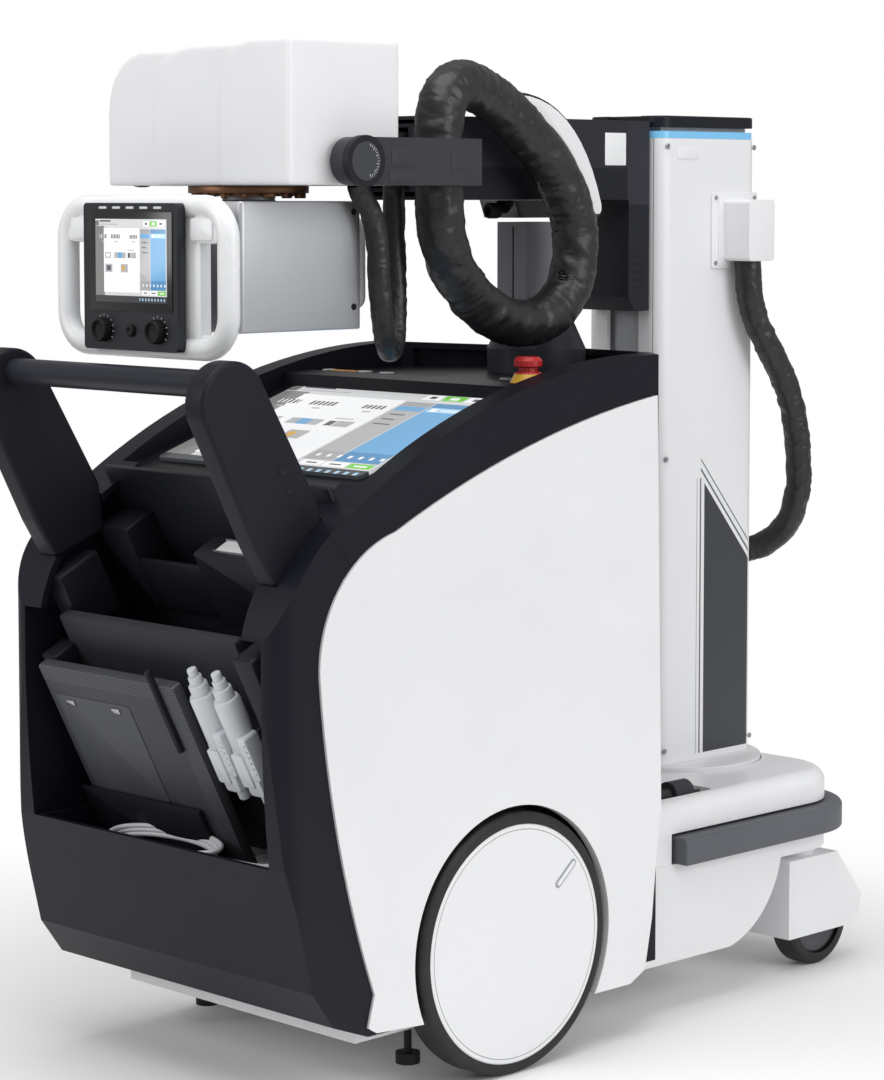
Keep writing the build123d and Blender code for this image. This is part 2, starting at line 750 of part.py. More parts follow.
# Mast: the inner column that rises out of the outer one
mast_half_width = column_half_width - column_wall - running_gap
mast_half_depth = column_half_depth - column_wall - running_gap
mast_top = column_top + running_gap
with BuildPart() as mast:
    with BuildSketch(Plane.XY.offset(mast_foot_z)):
        with Locations((0, column_y)):
            Rectangle(2 * mast_half_width, 2 * mast_half_depth)
            Rectangle(2 * (mast_half_width - mast_wall), 2 * (mast_half_depth - mast_wall), mode=Mode.SUBTRACT)
    extrude(amount=mast_top - mast_foot_z)
    with BuildSketch(Plane.XY.offset(mast_foot_z)):
        with Locations((0, column_y)):
            Rectangle(2 * (mast_half_width + pad_height), 2 * (mast_half_depth + pad_height))
            Rectangle(2 * mast_half_width - mast_wall, 2 * mast_half_depth - mast_wall, mode=Mode.SUBTRACT)
    extrude(amount=pad_length)
mast.part.label = "mast"
export_step(mast.part, "parts/mast.step")
with BuildPart() as mast_cap:
    with BuildSketch(Plane.XY.offset(mast_top + seat_gap)):
        with Locations((0, column_y)):
            RectangleRounded(2 * column_half_width, 2 * column_half_depth, column_corner)
        with Locations((0, column_rear)):
            Rectangle(2 * slot_half_width, 2 * (column_wall + running_gap), mode=Mode.SUBTRACT)
    extrude(amount=column_cap_height)
    fillet(mast_cap.edges().group_by(Axis.Z)[-1], 3)
mast_cap.part.label = "mast_cap"
export_step(mast_cap.part, "parts/mast_cap.step")

# Carriage: it rides on the mast's rear face, through the slot, and carries the arm
carriage_front = column_rear - running_gap
with BuildPart() as carriage:
    with BuildSketch(Plane.YZ):
        with BuildLine():
            Polyline(
                (carriage_front, carriage_bottom),
                (carriage_front, arm_top),
                (arm_root + seat_gap, arm_top),
                (arm_root + seat_gap, arm_bottom),
                (carriage_rear, arm_bottom),
                (carriage_rear, carriage_bottom + 20),
                (carriage_rear + 12, carriage_bottom),
                close=True,
            )
        make_face()
    extrude(amount=carriage_half_width, both=True)
    with BuildSketch(Plane.YZ):
        with Locations(((carriage_front + column_y - mast_half_depth - seat_gap) / 2, (arm_bottom + arm_top - 40) / 2)):
            Rectangle(column_y - mast_half_depth - seat_gap - carriage_front, arm_top - arm_bottom - 40)
    extrude(amount=slot_half_width - running_gap, both=True)
carriage.part.label = "carriage"
export_step(carriage.part, "parts/carriage.step")

# Arm: three square tubes, one inside the other
sections = []
for index in range(3):
    inset = index * (arm_wall + running_gap)
    sections.append((arm_half_width - inset, arm_bottom + inset, arm_top - inset))
for name, (half, low, high), front, root in (
    ("arm_outer", sections[0], arm_front, arm_root),
    ("arm_middle", sections[1], arm_front - 25, arm_root - 8),
    ("arm_inner", sections[2], yoke_plate_rear + running_gap, arm_root - 16),
):
    with BuildPart() as arm:
        with BuildSketch(Plane.XZ.offset(-root)):
            with Locations((0, (low + high) / 2)):
                Rectangle(2 * half, high - low)
                Rectangle(2 * (half - arm_wall), high - low - 2 * arm_wall, mode=Mode.SUBTRACT)
        extrude(amount=root - front)
        if name != "arm_outer":
            with BuildSketch(Plane.XZ.offset(-root)):
                with Locations((0, (low + high) / 2)):
                    Rectangle(2 * half + 2 * pad_height, high - low + 2 * pad_height)
                    Rectangle(2 * half - arm_wall, high - low - arm_wall, mode=Mode.SUBTRACT)
            extrude(amount=pad_length)
        if name == "arm_inner":
            with BuildSketch(Plane.XZ.offset(-front - 20)):
                with Locations((0, (low + high) / 2)):
                    Rectangle(2 * half, high - low)
            extrude(amount=20)
            with BuildSketch(Plane.XZ.offset(-front)):
                with Locations((0, pivot_z)):
                    Circle(roll_pin_radius)
            extrude(amount=running_gap + 18)
    arm.part.label = name
    export_step(arm.part, f"parts/{name}.step")

# Arm underside: the lock housing that meets the docking post
with BuildPart() as arm_lock:
    with BuildSketch(Plane.YZ):
        with BuildLine():
            Polyline(
                (dock_y - 66, arm_bottom - seat_gap),
                (dock_y - 56, dock_top + running_gap),
                (dock_y + 50, dock_top + running_gap),
                (dock_y + 50, arm_bottom - seat_gap),
                close=True,
            )
        make_face()
    extrude(amount=dock_half_width + 6, both=True)
arm_lock.part.label = "arm_lock"
export_step(arm_lock.part, "parts/arm_lock.step")

# Yoke: a fork with a rear plate on the arm's roll pin and two side arms at the tilt pins
yoke_plate_front = yoke_plate_rear - yoke_plate_depth
with BuildPart() as yoke:
    with BuildSketch(Plane.XY.offset(pivot_z - yoke_half_height)):
        with Locations((0, yoke_plate_rear - yoke_plate_depth / 2)):
            Rectangle(2 * yoke_outer, yoke_plate_depth)
        for side, sign in SIDES:
            with Locations((sign * (yoke_outer + yoke_inner) / 2, (pivot_y + yoke_plate_rear) / 2)):
                Rectangle(yoke_outer - yoke_inner, yoke_plate_rear - pivot_y)
    extrude(amount=2 * yoke_half_height)
    for side, sign in SIDES:
        with BuildSketch(Plane.YZ.offset(sign * yoke_inner)):
            with Locations((pivot_y, pivot_z)):
                Circle(yoke_half_height)
        extrude(amount=sign * (yoke_outer - yoke_inner))
        with BuildSketch(Plane.YZ.offset(sign * yoke_inner)):
            with Locations((pivot_y, pivot_z)):
                Circle(tilt_pin_radius + pin_gap)
        extrude(amount=sign * (yoke_outer - yoke_inner), mode=Mode.SUBTRACT)
    with BuildSketch(Plane.XZ.offset(-yoke_plate_rear)):
        with Locations((0, pivot_z)):
            Circle(roll_pin_radius + pin_gap)
    extrude(amount=20, mode=Mode.SUBTRACT)
    with BuildSketch(Plane.XY.offset(pivot_z - yoke_half_height)):
        with Locations((130, yoke_plate_rear + 20)):
            Rectangle(84, 40)
    extrude(amount=2 * yoke_half_height)
yoke.part.label = "yoke"
export_step(yoke.part, "parts/yoke.step")

# Tube housing: the white moulded cover over the x-ray tube
with BuildPart() as tube_housing:
    with BuildSketch(Plane.XY.offset(head_bottom)):
        with Locations((0, (head_front + head_rear) / 2)):
            RectangleRounded(2 * head_half_width, head_rear - head_front, head_corner)
    extrude(amount=head_top - head_bottom)
    fillet(tube_housing.edges().group_by(Axis.Z)[-1], 16)
    fillet(tube_housing.edges().group_by(Axis.Z)[0], 4)
tube_housing.part.label = "tube_housing"
export_step(tube_housing.part, "parts/tube_housing.step")

# Tilt discs: the pins through the yoke's arms, with a disc outside each
for side, sign in SIDES:
    with BuildPart() as tilt_disc:
        with BuildSketch(Plane.YZ.offset(sign * (head_half_width + seat_gap))):
            with Locations((pivot_y, pivot_z)):
                Circle(tilt_pin_radius)
        extrude(amount=sign * (yoke_outer - head_half_width))
        with BuildSketch(Plane.YZ.offset(sign * (yoke_outer + seat_gap))):
            with Locations((pivot_y, pivot_z)):
                Circle(tilt_disc_radius)
        extrude(amount=sign * tilt_disc_height)
    tilt_disc.part.label = f"tilt_disc_{side}"
    export_step(tilt_disc.part, f"parts/tilt_disc_{side}.step")

# Collimator ring: the brown bearing under the tube housing
with BuildPart() as collimator_ring:
    with BuildSketch(Plane.XY.offset(collimator_top + running_gap)):
        with Locations((0, pivot_y)):
            Circle(collimator_ring_radius)
            Circle(collimator_neck_radius + pin_gap, mode=Mode.SUBTRACT)
    extrude(amount=head_bottom - seat_gap - collimator_top - running_gap)
collimator_ring.part.label = "collimator_ring"
export_step(collimator_ring.part, "parts/collimator_ring.step")

# Collimator: the metal box with the beam's shutters
with BuildPart() as collimator:
    with BuildSketch(Plane.XY.offset(collimator_bottom)):
        with Locations((0, pivot_y)):
            Rectangle(2 * collimator_half, 2 * collimator_half)
    extrude(amount=collimator_top - collimator_bottom)
    fillet(collimator.edges().filter_by(Axis.Z), 6)
    with BuildSketch(Plane.XY.offset(collimator_top)):
        with Locations((0, pivot_y)):
            Circle(collimator_neck_radius)
    extrude(amount=head_bottom - 4 - collimator_top)
collimator.part.label = "collimator"
export_step(collimator.part, "parts/collimator.step")

# Display: a white ring with a grip each side, a centre module, and its bracket
with BuildPart() as display_ring:
    with BuildSketch(Plane.XZ.offset(-display_ring_rear)):
        with Locations((0, (display_bottom + display_top) / 2)):
            RectangleRounded(2 * display_half_width, display_top - display_bottom, display_corner)
        for side, sign in SIDES:
            with Locations((sign * (display_module_half + grip_inner) / 2, (display_bottom + display_top) / 2)):
                RectangleRounded(grip_inner - display_module_half, display_top - display_bottom - 50, 8, mode=Mode.SUBTRACT)
        with Locations((0, (display_bottom + display_top) / 2)):
            Rectangle(2 * (display_module_half - 8), display_top - display_bottom - 30, mode=Mode.SUBTRACT)
    extrude(amount=display_ring_rear - display_ring_front)
display_ring.part.label = "display_ring"
export_step(display_ring.part, "parts/display_ring.step")
with BuildPart() as display_module:
    with BuildSketch(Plane.XZ.offset(-display_rear)):
        with Locations((0, (display_bottom + display_top) / 2)):
            RectangleRounded(2 * (display_module_half - 8 - seat_gap), display_top - display_bottom - 30 - 2 * seat_gap, 1)
    extrude(amount=display_rear - display_front - 6)
    with BuildSketch(Plane.XZ.offset(-display_ring_front + seat_gap)):
        with Locations((0, (display_bottom + display_top) / 2)):
            RectangleRounded(2 * display_module_half, display_top - display_bottom - 20, 6)
    extrude(amount=display_ring_front - seat_gap - display_front)
display_module.part.label = "display_module"
export_step(display_module.part, "parts/display_module.step")
with BuildPart() as display_bracket:
    with BuildSketch(Plane.XZ.offset(-(pivot_y - collimator_half - seat_gap))):
        with Locations((0, (display_bottom + display_top) / 2)):
            Rectangle(90, 110)
    extrude(amount=pivot_y - collimator_half - display_rear - 2 * seat_gap)
display_bracket.part.label = "display_bracket"
export_step(display_bracket.part, "parts/display_bracket.step")

# Hoses: the leather-sleeved cable loop beside the arm, the strap hose and the column's hose
main_hose_route = [
    (130, -148, 1155.5), (130, -148, 1100), (118, -104, 1046), (108, -40, 1003), (106, 30, 968), (106, 90, 970),
    (106, 140, 1005), (106, 172, 1065), (106, 178, 1130), (106, 158, 1195), (106, 112, 1246), (106, 50, 1282),
    (108, -20, 1301), (122, -92, 1304), (130, -148, 1270), (130, -148, 1216.5),
]
main_hose = hose("main_hose", main_hose_route, 72)
main_hose.label = "main_hose"
export_step(main_hose, "parts/main_hose.step")
strap_route = [
    (62, -164.5, 1156), (62, -164.5, 1105), (68, -168, 1050), (78, -176, 995), (90, -190, 952), (102, -214, 936),
    (114, -240, 952), (121, -262, 995), (122, -276, 1045), (122, -286, 1090), (122, -290, 1120), (122, -290, 1156),
]
strap_hose = hose("strap_hose", strap_route, 30)
strap_hose.label = "strap_hose"
export_step(strap_hose, "parts/strap_hose.step")
column_hose_route = [
    (100, 523, 1047), (100, 523, 995), (104, 550, 938), (110, 592, 880), (113, 618, 820),
    (114, 630, 755), (110, 634, 695), (94, 632, 650), (66, 628, 622), (38, 616, 606), (20, 598, 602), (20, 584, 602),
]
column_hose = hose("column_hose", column_hose_route, 40)
column_hose.label = "column_hose"
export_step(column_hose, "parts/column_hose.step")
with BuildPart() as hose_box:
    with BuildSketch(Plane.YZ.offset(column_half_width + seat_gap)):
        with Locations((column_y + 52, 1090)):
            Rectangle(74, 100)
    extrude(amount=4)
    with BuildSketch(Plane.YZ.offset(column_half_width + seat_gap)):
        with Locations((column_y + 56, 1092)):
            RectangleRounded(58, 90, 6)
    extrude(amount=52)
hose_box.part.label = "hose_box"
export_step(hose_box.part, "parts/hose_box.step")

# Mains plug: it lies in the pocket of the base cover
plug_z = cover_top - 22 + seat_gap + 18
with BuildPart() as mains_plug:
    with BuildSketch(Plane(origin=(186, 250, plug_z), x_dir=(0, 1, 0), z_dir=(1, 0, 0))):
        with BuildLine():
            Polyline((-54, 0), (-54, 5), (0, 9), (0, 18), (38, 18), (38, 0), close=True)
        make_face()
    revolve(axis=Axis((186, 250, plug_z), (0, 1, 0)))
    for pin_x in (-9.5, 9.5):
        with BuildSketch(Plane(origin=(186 + pin_x, 288, plug_z), x_dir=(1, 0, 0), z_dir=(0, 1, 0))):
            Circle(2.4)
        extrude(amount=19)
mains_plug.part.label = "mains_plug"
export_step(mains_plug.part, "parts/mains_plug.step")
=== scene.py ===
import math

import bmesh
import bpy
from mathutils import Matrix, Vector, noise


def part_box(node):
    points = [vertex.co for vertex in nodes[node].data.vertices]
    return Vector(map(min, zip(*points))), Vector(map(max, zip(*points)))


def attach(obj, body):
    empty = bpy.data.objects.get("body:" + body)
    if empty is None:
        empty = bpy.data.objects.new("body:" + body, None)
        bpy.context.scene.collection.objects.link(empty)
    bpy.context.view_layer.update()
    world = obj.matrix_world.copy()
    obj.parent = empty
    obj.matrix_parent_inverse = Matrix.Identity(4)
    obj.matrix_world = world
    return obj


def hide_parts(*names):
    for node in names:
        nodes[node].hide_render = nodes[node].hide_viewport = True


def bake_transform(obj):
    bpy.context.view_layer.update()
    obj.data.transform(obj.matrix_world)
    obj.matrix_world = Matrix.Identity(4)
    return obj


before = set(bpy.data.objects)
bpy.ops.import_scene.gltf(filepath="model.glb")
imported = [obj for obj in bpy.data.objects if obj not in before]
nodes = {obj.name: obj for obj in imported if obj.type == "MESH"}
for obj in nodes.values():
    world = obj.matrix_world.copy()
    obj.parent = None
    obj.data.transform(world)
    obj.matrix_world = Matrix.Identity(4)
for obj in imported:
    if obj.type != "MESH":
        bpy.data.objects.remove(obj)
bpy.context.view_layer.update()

MM = 0.001


# Camera
# The camera stands off the corner between the handle's end and the right flank, level with
# the tube head's lower edge.
camera_place = (2.950, -2.932, 1.144)
camera_turn = 45.31
camera_dip = 4.50
camera_focal = 3013.0
camera_drop = 0.1
frame_height = 1080.0
bpy.ops.object.select_all(action="DESELECT")
bpy.ops.object.camera_add(location=camera_place)
camera = bpy.context.object
camera.rotation_euler = (math.radians(90.0 - camera_dip), 0.0, math.radians(camera_turn))
camera.data.sensor_width = 36.0
camera.data.lens = camera_focal / frame_height * camera.data.sensor_width
camera.data.shift_y = -camera_drop
camera.data.clip_end = 60.0
bpy.context.scene.camera = camera
bpy.context.scene.view_settings.view_transform = "Standard"


# Floor and light
# A plain white floor that keeps only the machine's soft shadow, a white room and three
# large lamps.
class Wire:
    """One socket of a shader, so that masks and colours are written as sums."""

    def __init__(self, tree, socket):
        self.tree = tree
        self.socket = socket

    def math(self, operation, *values, clamp=False):
        node = self.tree.nodes.new("ShaderNodeMath")
        node.operation = operation
        node.use_clamp = clamp
        for place, value in enumerate((self,) + values):
            if isinstance(value, Wire):
                self.tree.links.new(value.socket, node.inputs[place])
            else:
                node.inputs[place].default_value = value
        return Wire(self.tree, node.outputs[0])

    def __add__(self, other):
        return self.math("ADD", other)

    __radd__ = __add__

    def __mul__(self, other):
        return self.math("MULTIPLY", other)

    __rmul__ = __mul__

    def __sub__(self, other):
        return self.math("SUBTRACT", other)

    def __rsub__(self, other):
        return self.math("MULTIPLY", -1.0).math("ADD", other)

    def step(self, edge, width):
        """0 below the edge and 1 above it, over a soft width."""
        node = self.tree.nodes.new("ShaderNodeMapRange")
        node.interpolation_type = "SMOOTHSTEP"
        self.tree.links.new(self.socket, node.inputs["Value"])
        node.inputs["From Min"].default_value = edge - width / 2
        node.inputs["From Max"].default_value = edge + width / 2
        return Wire(self.tree, node.outputs["Result"])

    def within(self, low, high):
        """1 between two limits and 0 outside them."""
        return self.math("COMPARE", (low + high) / 2, (high - low) / 2)

    def repeat(self, pitch):
        """Distance to the nearest of a row of marks, from 0 to half the pitch."""
        return self.math("PINGPONG", pitch / 2)


class Finish:
    """A material with one Principled shader, fed by procedural nodes."""

    def __init__(self, name, **inputs):
        self.material = bpy.data.materials.new(name)
        self.material.use_nodes = True
        self.tree = self.material.node_tree
        self.shader = self.tree.nodes["Principled BSDF"]
        self.place = self.node("ShaderNodeTexCoord", {}, {}, "Object")
        for socket, value in inputs.items():
            self.feed(socket.replace("_", " ").title().replace("Ior", "IOR"), value)

    def node(self, kind, settings, inputs, output=0):
        made = self.tree.nodes.new(kind)
        for setting, value in settings.items():
            setattr(made, setting, value)
        for socket, value in inputs.items():
            if isinstance(value, Wire):
                self.tree.links.new(value.socket, made.inputs[socket])
            else:
                made.inputs[socket].default_value = value
        return Wire(self.tree, made.outputs[output])

    def feed(self, socket, value):
        if isinstance(value, Wire):
            self.tree.links.new(value.socket, self.shader.inputs[socket])
        elif isinstance(value, tuple):
            self.shader.inputs[socket].default_value = (*value, 1.0)
        else:
            self.shader.inputs[socket].default_value = value

    def noise(self, scale, detail=3.0, rough=0.5, stretch=(1.0, 1.0, 1.0)):
        where = self.node("ShaderNodeMapping", {}, {"Vector": self.place, "Scale": stretch})
        grain = {"Vector": where, "Scale": scale, "Detail": detail, "Roughness": rough}
        return self.node("ShaderNodeTexNoise", {}, grain, "Fac")

    def along(self, direction, origin=(0.0, 0.0, 0.0)):
        """Distance in mm from origin along a direction."""
        across = Vector(direction).normalized()
        scaled = {0: self.place, 1: tuple(across / MM)}
        reach = self.node("ShaderNodeVectorMath", {"operation": "DOT_PRODUCT"}, scaled, "Value")
        return reach - across.dot(Vector(origin))

    def above(self, height, soft=0.5):
        """1 above a height in mm and 0 below it, over a soft width."""
        return self.along((0, 0, 1), (0, 0, height)).step(0.0, soft)

    def radius(self, centre):
        """Distance in mm from an axis that runs across the machine through centre."""
        run = self.along((0, 1, 0), centre)
        rise = self.along((0, 0, 1), centre)
        return (run * run + rise * rise).math("SQRT")

    def mix(self, mask, low, high):
        """Colour low where the mask is 0 and colour high where it is 1."""
        colours = {}
        for socket, value in ((6, low), (7, high)):
            colours[socket] = value if isinstance(value, Wire) else (*value, 1.0)
        return self.node("ShaderNodeMix", {"data_type": "RGBA"}, {0: mask, **colours}, 2)

    def bump(self, height, strength, distance, under=None):
        inputs = {"Height": height, "Strength": strength, "Distance": distance}
        if under is not None:
            inputs["Normal"] = under
        return self.node("ShaderNodeBump", {}, inputs, "Normal")


def seen_as_white(tree, cast_light):
    """A strength that is 1 for the camera and through glass, and lower as light on the machine."""
    path = tree.nodes.new("ShaderNodeLightPath")
    seen = Wire(tree, path.outputs["Is Camera Ray"])
    seen = seen.math("MAXIMUM", Wire(tree, path.outputs["Is Transmission Ray"]))
    return seen * (1.0 - cast_light) + cast_light


room_light = 0.42
floor_colour = (0.93, 0.93, 0.93)
floor_reach = 2.4
fade_middle, fade_width = 0.95, 0.9
bpy.ops.mesh.primitive_circle_add(vertices=96, radius=floor_reach, fill_type="NGON")
floor = bpy.context.object
floor.name = "floor"
floor_finish = Finish("white_floor", base_color=floor_colour, roughness=0.75)
from_middle = floor_finish.node(
    "ShaderNodeVectorMath", {"operation": "LENGTH"}, {0: floor_finish.place}, "Value"
)
fade = from_middle.step(fade_middle, fade_width)
glow = floor_finish.node("ShaderNodeEmission", {}, {"Color": (1.0, 1.0, 1.0, 1.0), "Strength": 1.0})
blend = floor_finish.node("ShaderNodeMixShader", {}, {0: fade, 2: glow})
output = floor_finish.tree.nodes["Material Output"]
floor_finish.tree.links.new(floor_finish.shader.outputs[0], blend.socket.node.inputs[1])
floor_finish.tree.links.new(blend.socket, output.inputs["Surface"])
floor.data.materials.append(floor_finish.material)

world = bpy.data.worlds.new("studio")
bpy.context.scene.world = world
world.use_nodes = True
background = world.node_tree.nodes["Background"]
room = seen_as_white(world.node_tree, room_light)
world.node_tree.links.new(room.socket, background.inputs["Strength"])
background.inputs["Color"].default_value = (1.0, 1.0, 1.0, 1.0)

lamps = (
    # name, place, target, size, power
    ("overhead_lamp", (0.6, -1.0, 3.6), (0.0, 0.0, 0.6), 3.0, 78.0),
    ("flank_lamp", (4.2, 0.6, 2.2), (0.2, 0.0, 0.6), 2.4, 70.0),
    ("rear_lamp", (-1.6, -4.2, 2.2), (0.0, -0.3, 0.8), 2.0, 50.0),
)
for name, place, target, size, power in lamps:
    bpy.ops.object.light_add(type="AREA", location=place)
    lamp = bpy.context.object
    lamp.name = name
    lamp.data.size = size
    lamp.data.energy = power
    lamp.rotation_euler = (Vector(target) - Vector(place)).to_track_quat("-Z", "Y").to_euler()


# Base
# A painted steel base box. White moulded covers close the column's end of it and the casters
# there, and a grey rubber bumper runs round that end.
def dress(names, finish):
    """Gives CAD nodes their material."""
    for name in names:
        mesh = nodes[name].data
        mesh.materials.clear()
        mesh.materials.append(finish.material)


cover_white = (0.80, 0.805, 0.82)
shell_graphite = (0.0075, 0.0082, 0.0135)


def white_plastic(name, colour=cover_white, roughness=0.33):
    """Glossy injection moulding with a very slight waviness and no grain."""
    finish = Finish(name, base_color=colour, specular_ior_level=0.5)
    cloud = finish.noise(9.0, 2.0)
    finish.feed("Roughness", cloud * 0.12 + (roughness - 0.06))
    dull = tuple(c * 0.975 for c in colour)
    finish.feed("Base Color", finish.mix(cloud.step(0.5, 0.5), dull, colour))
    finish.feed("Normal", finish.bump(finish.noise(420.0, 2.0), 0.05, 0.0004))
    return finish


def graphite_plastic(name, colour=shell_graphite, roughness=0.42, grain=900.0):
    """Dark blue-grey satin moulding with the fine grain of its mould."""
    finish = Finish(name, base_color=colour, specular_ior_level=0.18)
    cloud = finish.noise(6.0, 3.0)
    dull, bright = tuple(c * 0.86 for c in colour), tuple(c * 1.14 for c in colour)
    finish.feed("Base Color", finish.mix(cloud, dull, bright))
    finish.feed("Roughness", cloud * 0.14 + (roughness - 0.07))
    finish.feed("Normal", finish.bump(finish.noise(grain, 2.0), 0.2, 0.0004))
    return finish


covers = white_plastic("white_cover_plastic")
enamel = white_plastic("white_enamel_paint", (0.77, 0.775, 0.79), 0.38)
dress(["base_cover"], covers)
dress(["base_body", "turntable"], enamel)
bumper_rubber = graphite_plastic("bumper_rubber", (0.115, 0.12, 0.135), 0.5, 1500.0)


def face_frame(origin, right, up):
    """The frame of a face: u runs along right, v along up and w out of the face."""
    right = Vector(right).normalized()
    up = Vector(up).normalized()
    turned = Matrix((right, up, right.cross(up))).transposed().to_4x4()
    return Matrix.Translation(Vector(origin) * MM) @ turned


top_face = face_frame((0, 0, 0), (1, 0, 0), (0, 1, 0))
right_face = face_frame((0, 0, 0), (0, 1, 0), (0, 0, 1))
left_face = face_frame((0, 0, 0), (0, -1, 0), (0, 0, 1))
end_face = face_frame((0, 0, 0), (1, 0, 0), (0, 0, 1))
rear_face = face_frame((0, 0, 0), (-1, 0, 0), (0, 0, 1))
flanks = (("right", right_face, 1), ("left", left_face, -1))


def take(*pieces):
    """Selects only these pieces and makes the first one active."""
    bpy.ops.object.select_all(action="DESELECT")
    for piece in pieces:
        piece.select_set(True)
    bpy.context.view_layer.objects.active = pieces[0]


def pick(piece, kind, wanted):
    """Selects the edges or faces of the piece being edited that wanted holds for."""
    bpy.ops.mesh.select_mode(type=kind)
    bpy.ops.mesh.select_all(action="DESELECT")
    editing = bmesh.from_edit_mesh(piece.data)
    for part in editing.edges if kind == "EDGE" else editing.faces:
        part.select_set(wanted(part))
    bmesh.update_edit_mesh(piece.data)


def round_sharp_edges(edge, segments=2):
    """Bevels the edges of the piece being edited that turn by more than 60 degrees."""
    bpy.ops.mesh.select_all(action="DESELECT")
    bpy.ops.mesh.edges_select_sharp(sharpness=math.radians(60))
    bpy.ops.mesh.bevel(offset=edge * MM, segments=segments, affect="EDGES")


def runs_up(side, share=0.9):
    """Whether an edge stands square to the face that its piece is built on."""
    return abs((side.verts[0].co - side.verts[1].co).normalized().z) > share


def block(face, u, v, w, edge=0.5, corner=0.0):
    """A plate or block between limits in mm on a face, with rounded corners and edges."""
    middle = [(low + high) / 2 * MM for low, high in (u, v, w)]
    size = [(high - low) * MM for low, high in (u, v, w)]
    bpy.ops.object.select_all(action="DESELECT")
    bpy.ops.mesh.primitive_cube_add(size=1.0, location=middle, scale=size)
    piece = bpy.context.object
    bpy.ops.object.transform_apply(location=False, rotation=False, scale=True)
    bpy.ops.object.mode_set(mode="EDIT")
    if corner:
        pick(piece, "EDGE", runs_up)
        bpy.ops.mesh.bevel(offset=corner * MM, segments=6, affect="EDGES")
    round_sharp_edges(edge)
    bpy.ops.object.mode_set(mode="OBJECT")
    piece.matrix_basis = face @ piece.matrix_basis
    return piece


def disc(face, centre, radius, w, edge=0.5, socket=0.0, sides=32):
    """A turned disc on a face, with a rounded rim and, where given, a recess in its top."""
    low, high = w
    place = (centre[0] * MM, centre[1] * MM, (low + high) / 2 * MM)
    bpy.ops.object.select_all(action="DESELECT")
    bpy.ops.mesh.primitive_cylinder_add(
        vertices=sides, radius=radius * MM, depth=(high - low) * MM, location=place
    )
    piece = bpy.context.object
    bpy.ops.object.mode_set(mode="EDIT")
    if socket:
        pick(piece, "FACE", lambda flat: flat.normal.z > 0.9)
        bpy.ops.mesh.inset(thickness=(radius - socket) * MM)
        sink = (0.0, 0.0, -0.4 * (high - low) * MM)
        bpy.ops.mesh.extrude_region_move(TRANSFORM_OT_translate={"value": sink})
    bpy.ops.mesh.select_mode(type="EDGE")
    round_sharp_edges(edge)
    bpy.ops.object.mode_set(mode="OBJECT")
    piece.matrix_basis = face @ piece.matrix_basis
    return piece


def fit(name, parts, finish, body):
    """Joins the parts of one piece, settles it in the frame and fixes it to a body."""
    take(*parts)
    if len(parts) > 1:
        bpy.ops.object.join()
    piece = bpy.context.object
    piece.name = name
    bpy.ops.object.transform_apply(location=True, rotation=True, scale=True)
    bpy.ops.object.shade_smooth_by_angle(angle=math.radians(35))
    piece.data.materials.clear()
    piece.data.materials.append(finish.material)
    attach(piece, body)
    return piece


def turn_about(part, centre, angle, axis):
    """Turns a part that is built round the origin about an axis, and carries it to centre in mm."""
    carried = Matrix.Translation(Vector(centre) * MM)
    part.matrix_basis = carried @ Matrix.Rotation(angle, 4, axis) @ part.matrix_basis


def rounded_copy(node_name, width, finish, body, segments=3):
    """A copy of a CAD node with its moulded edges rounded, which stands for that node."""
    copy = nodes[node_name].copy()
    copy.data = nodes[node_name].data.copy()
    bpy.context.scene.collection.objects.link(copy)
    copy.parent = None
    copy.hide_set(False)
    take(copy)
    bpy.ops.object.mode_set(mode="EDIT")
    bpy.ops.mesh.select_all(action="SELECT")
    bpy.ops.mesh.remove_doubles(threshold=0.00002)
    bpy.ops.mesh.select_mode(type="EDGE")
    bpy.ops.mesh.dissolve_limited(angle_limit=math.radians(1.0))
    bpy.ops.mesh.select_all(action="DESELECT")
    bpy.ops.mesh.edges_select_sharp(sharpness=math.radians(40))
    bpy.ops.mesh.bevel(offset=width * MM, segments=segments, affect="EDGES", clamp_overlap=True)
    bpy.ops.object.mode_set(mode="OBJECT")
    piece = fit(node_name + "_moulding", [copy], finish, body)
    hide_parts(node_name)
    return piece


for name, face, side in flanks:
    rounded_copy("caster_cover_" + name, 9.0, covers, "caster_" + name, 4)
rounded_copy("bumper", 3.0, bumper_rubber, "chassis")


# Feet and axles
# Two levelling feet with black rubber pads stand under the handle's end. The drive wheels'
# axles are turned steel with a zinc plate.
zinc = Finish("zinc_plate", base_color=(0.42, 0.42, 0.44), metallic=1.0)
zinc.feed("Roughness", zinc.noise(60.0) * 0.2 + 0.25)
pad_rubber = graphite_plastic("pad_rubber", (0.013, 0.013, 0.014), 0.55)
dress(["rear_foot_right", "rear_foot_left"], pad_rubber)
dress(["drive_axle_right", "drive_axle_left"], zinc)


# Drive wheels
# Black rubber tyres with fine circular grooves, pressed on moulded white discs. Each disc has
# a turned groove near its rim, darkened by a ring of painted shade, and a small raised rib in a
# recess painted grey as shade.
drive_centre = (0.0, -152.0, 172.5)


def tyre_finish(name, centre, colour=(0.011, 0.011, 0.012), groove_pitch=5.0):
    """Matt black rubber with fine rings round its axle and a little dust."""
    finish = Finish(name, base_color=colour, specular_ior_level=0.4)
    ring = finish.radius(centre).repeat(groove_pitch).step(0.5, 0.5)
    dust = finish.noise(26.0, 5.0, 0.6)
    finish.feed("Base Color", finish.mix(dust.step(0.62, 0.4), colour, tuple(c * 2.1 for c in colour)))
    finish.feed("Roughness", dust * 0.25 + 0.42)
    grain = finish.bump(finish.noise(700.0), 0.2, 0.0004)
    finish.feed("Normal", finish.bump(ring, 0.25, 0.0006, grain))
    return finish


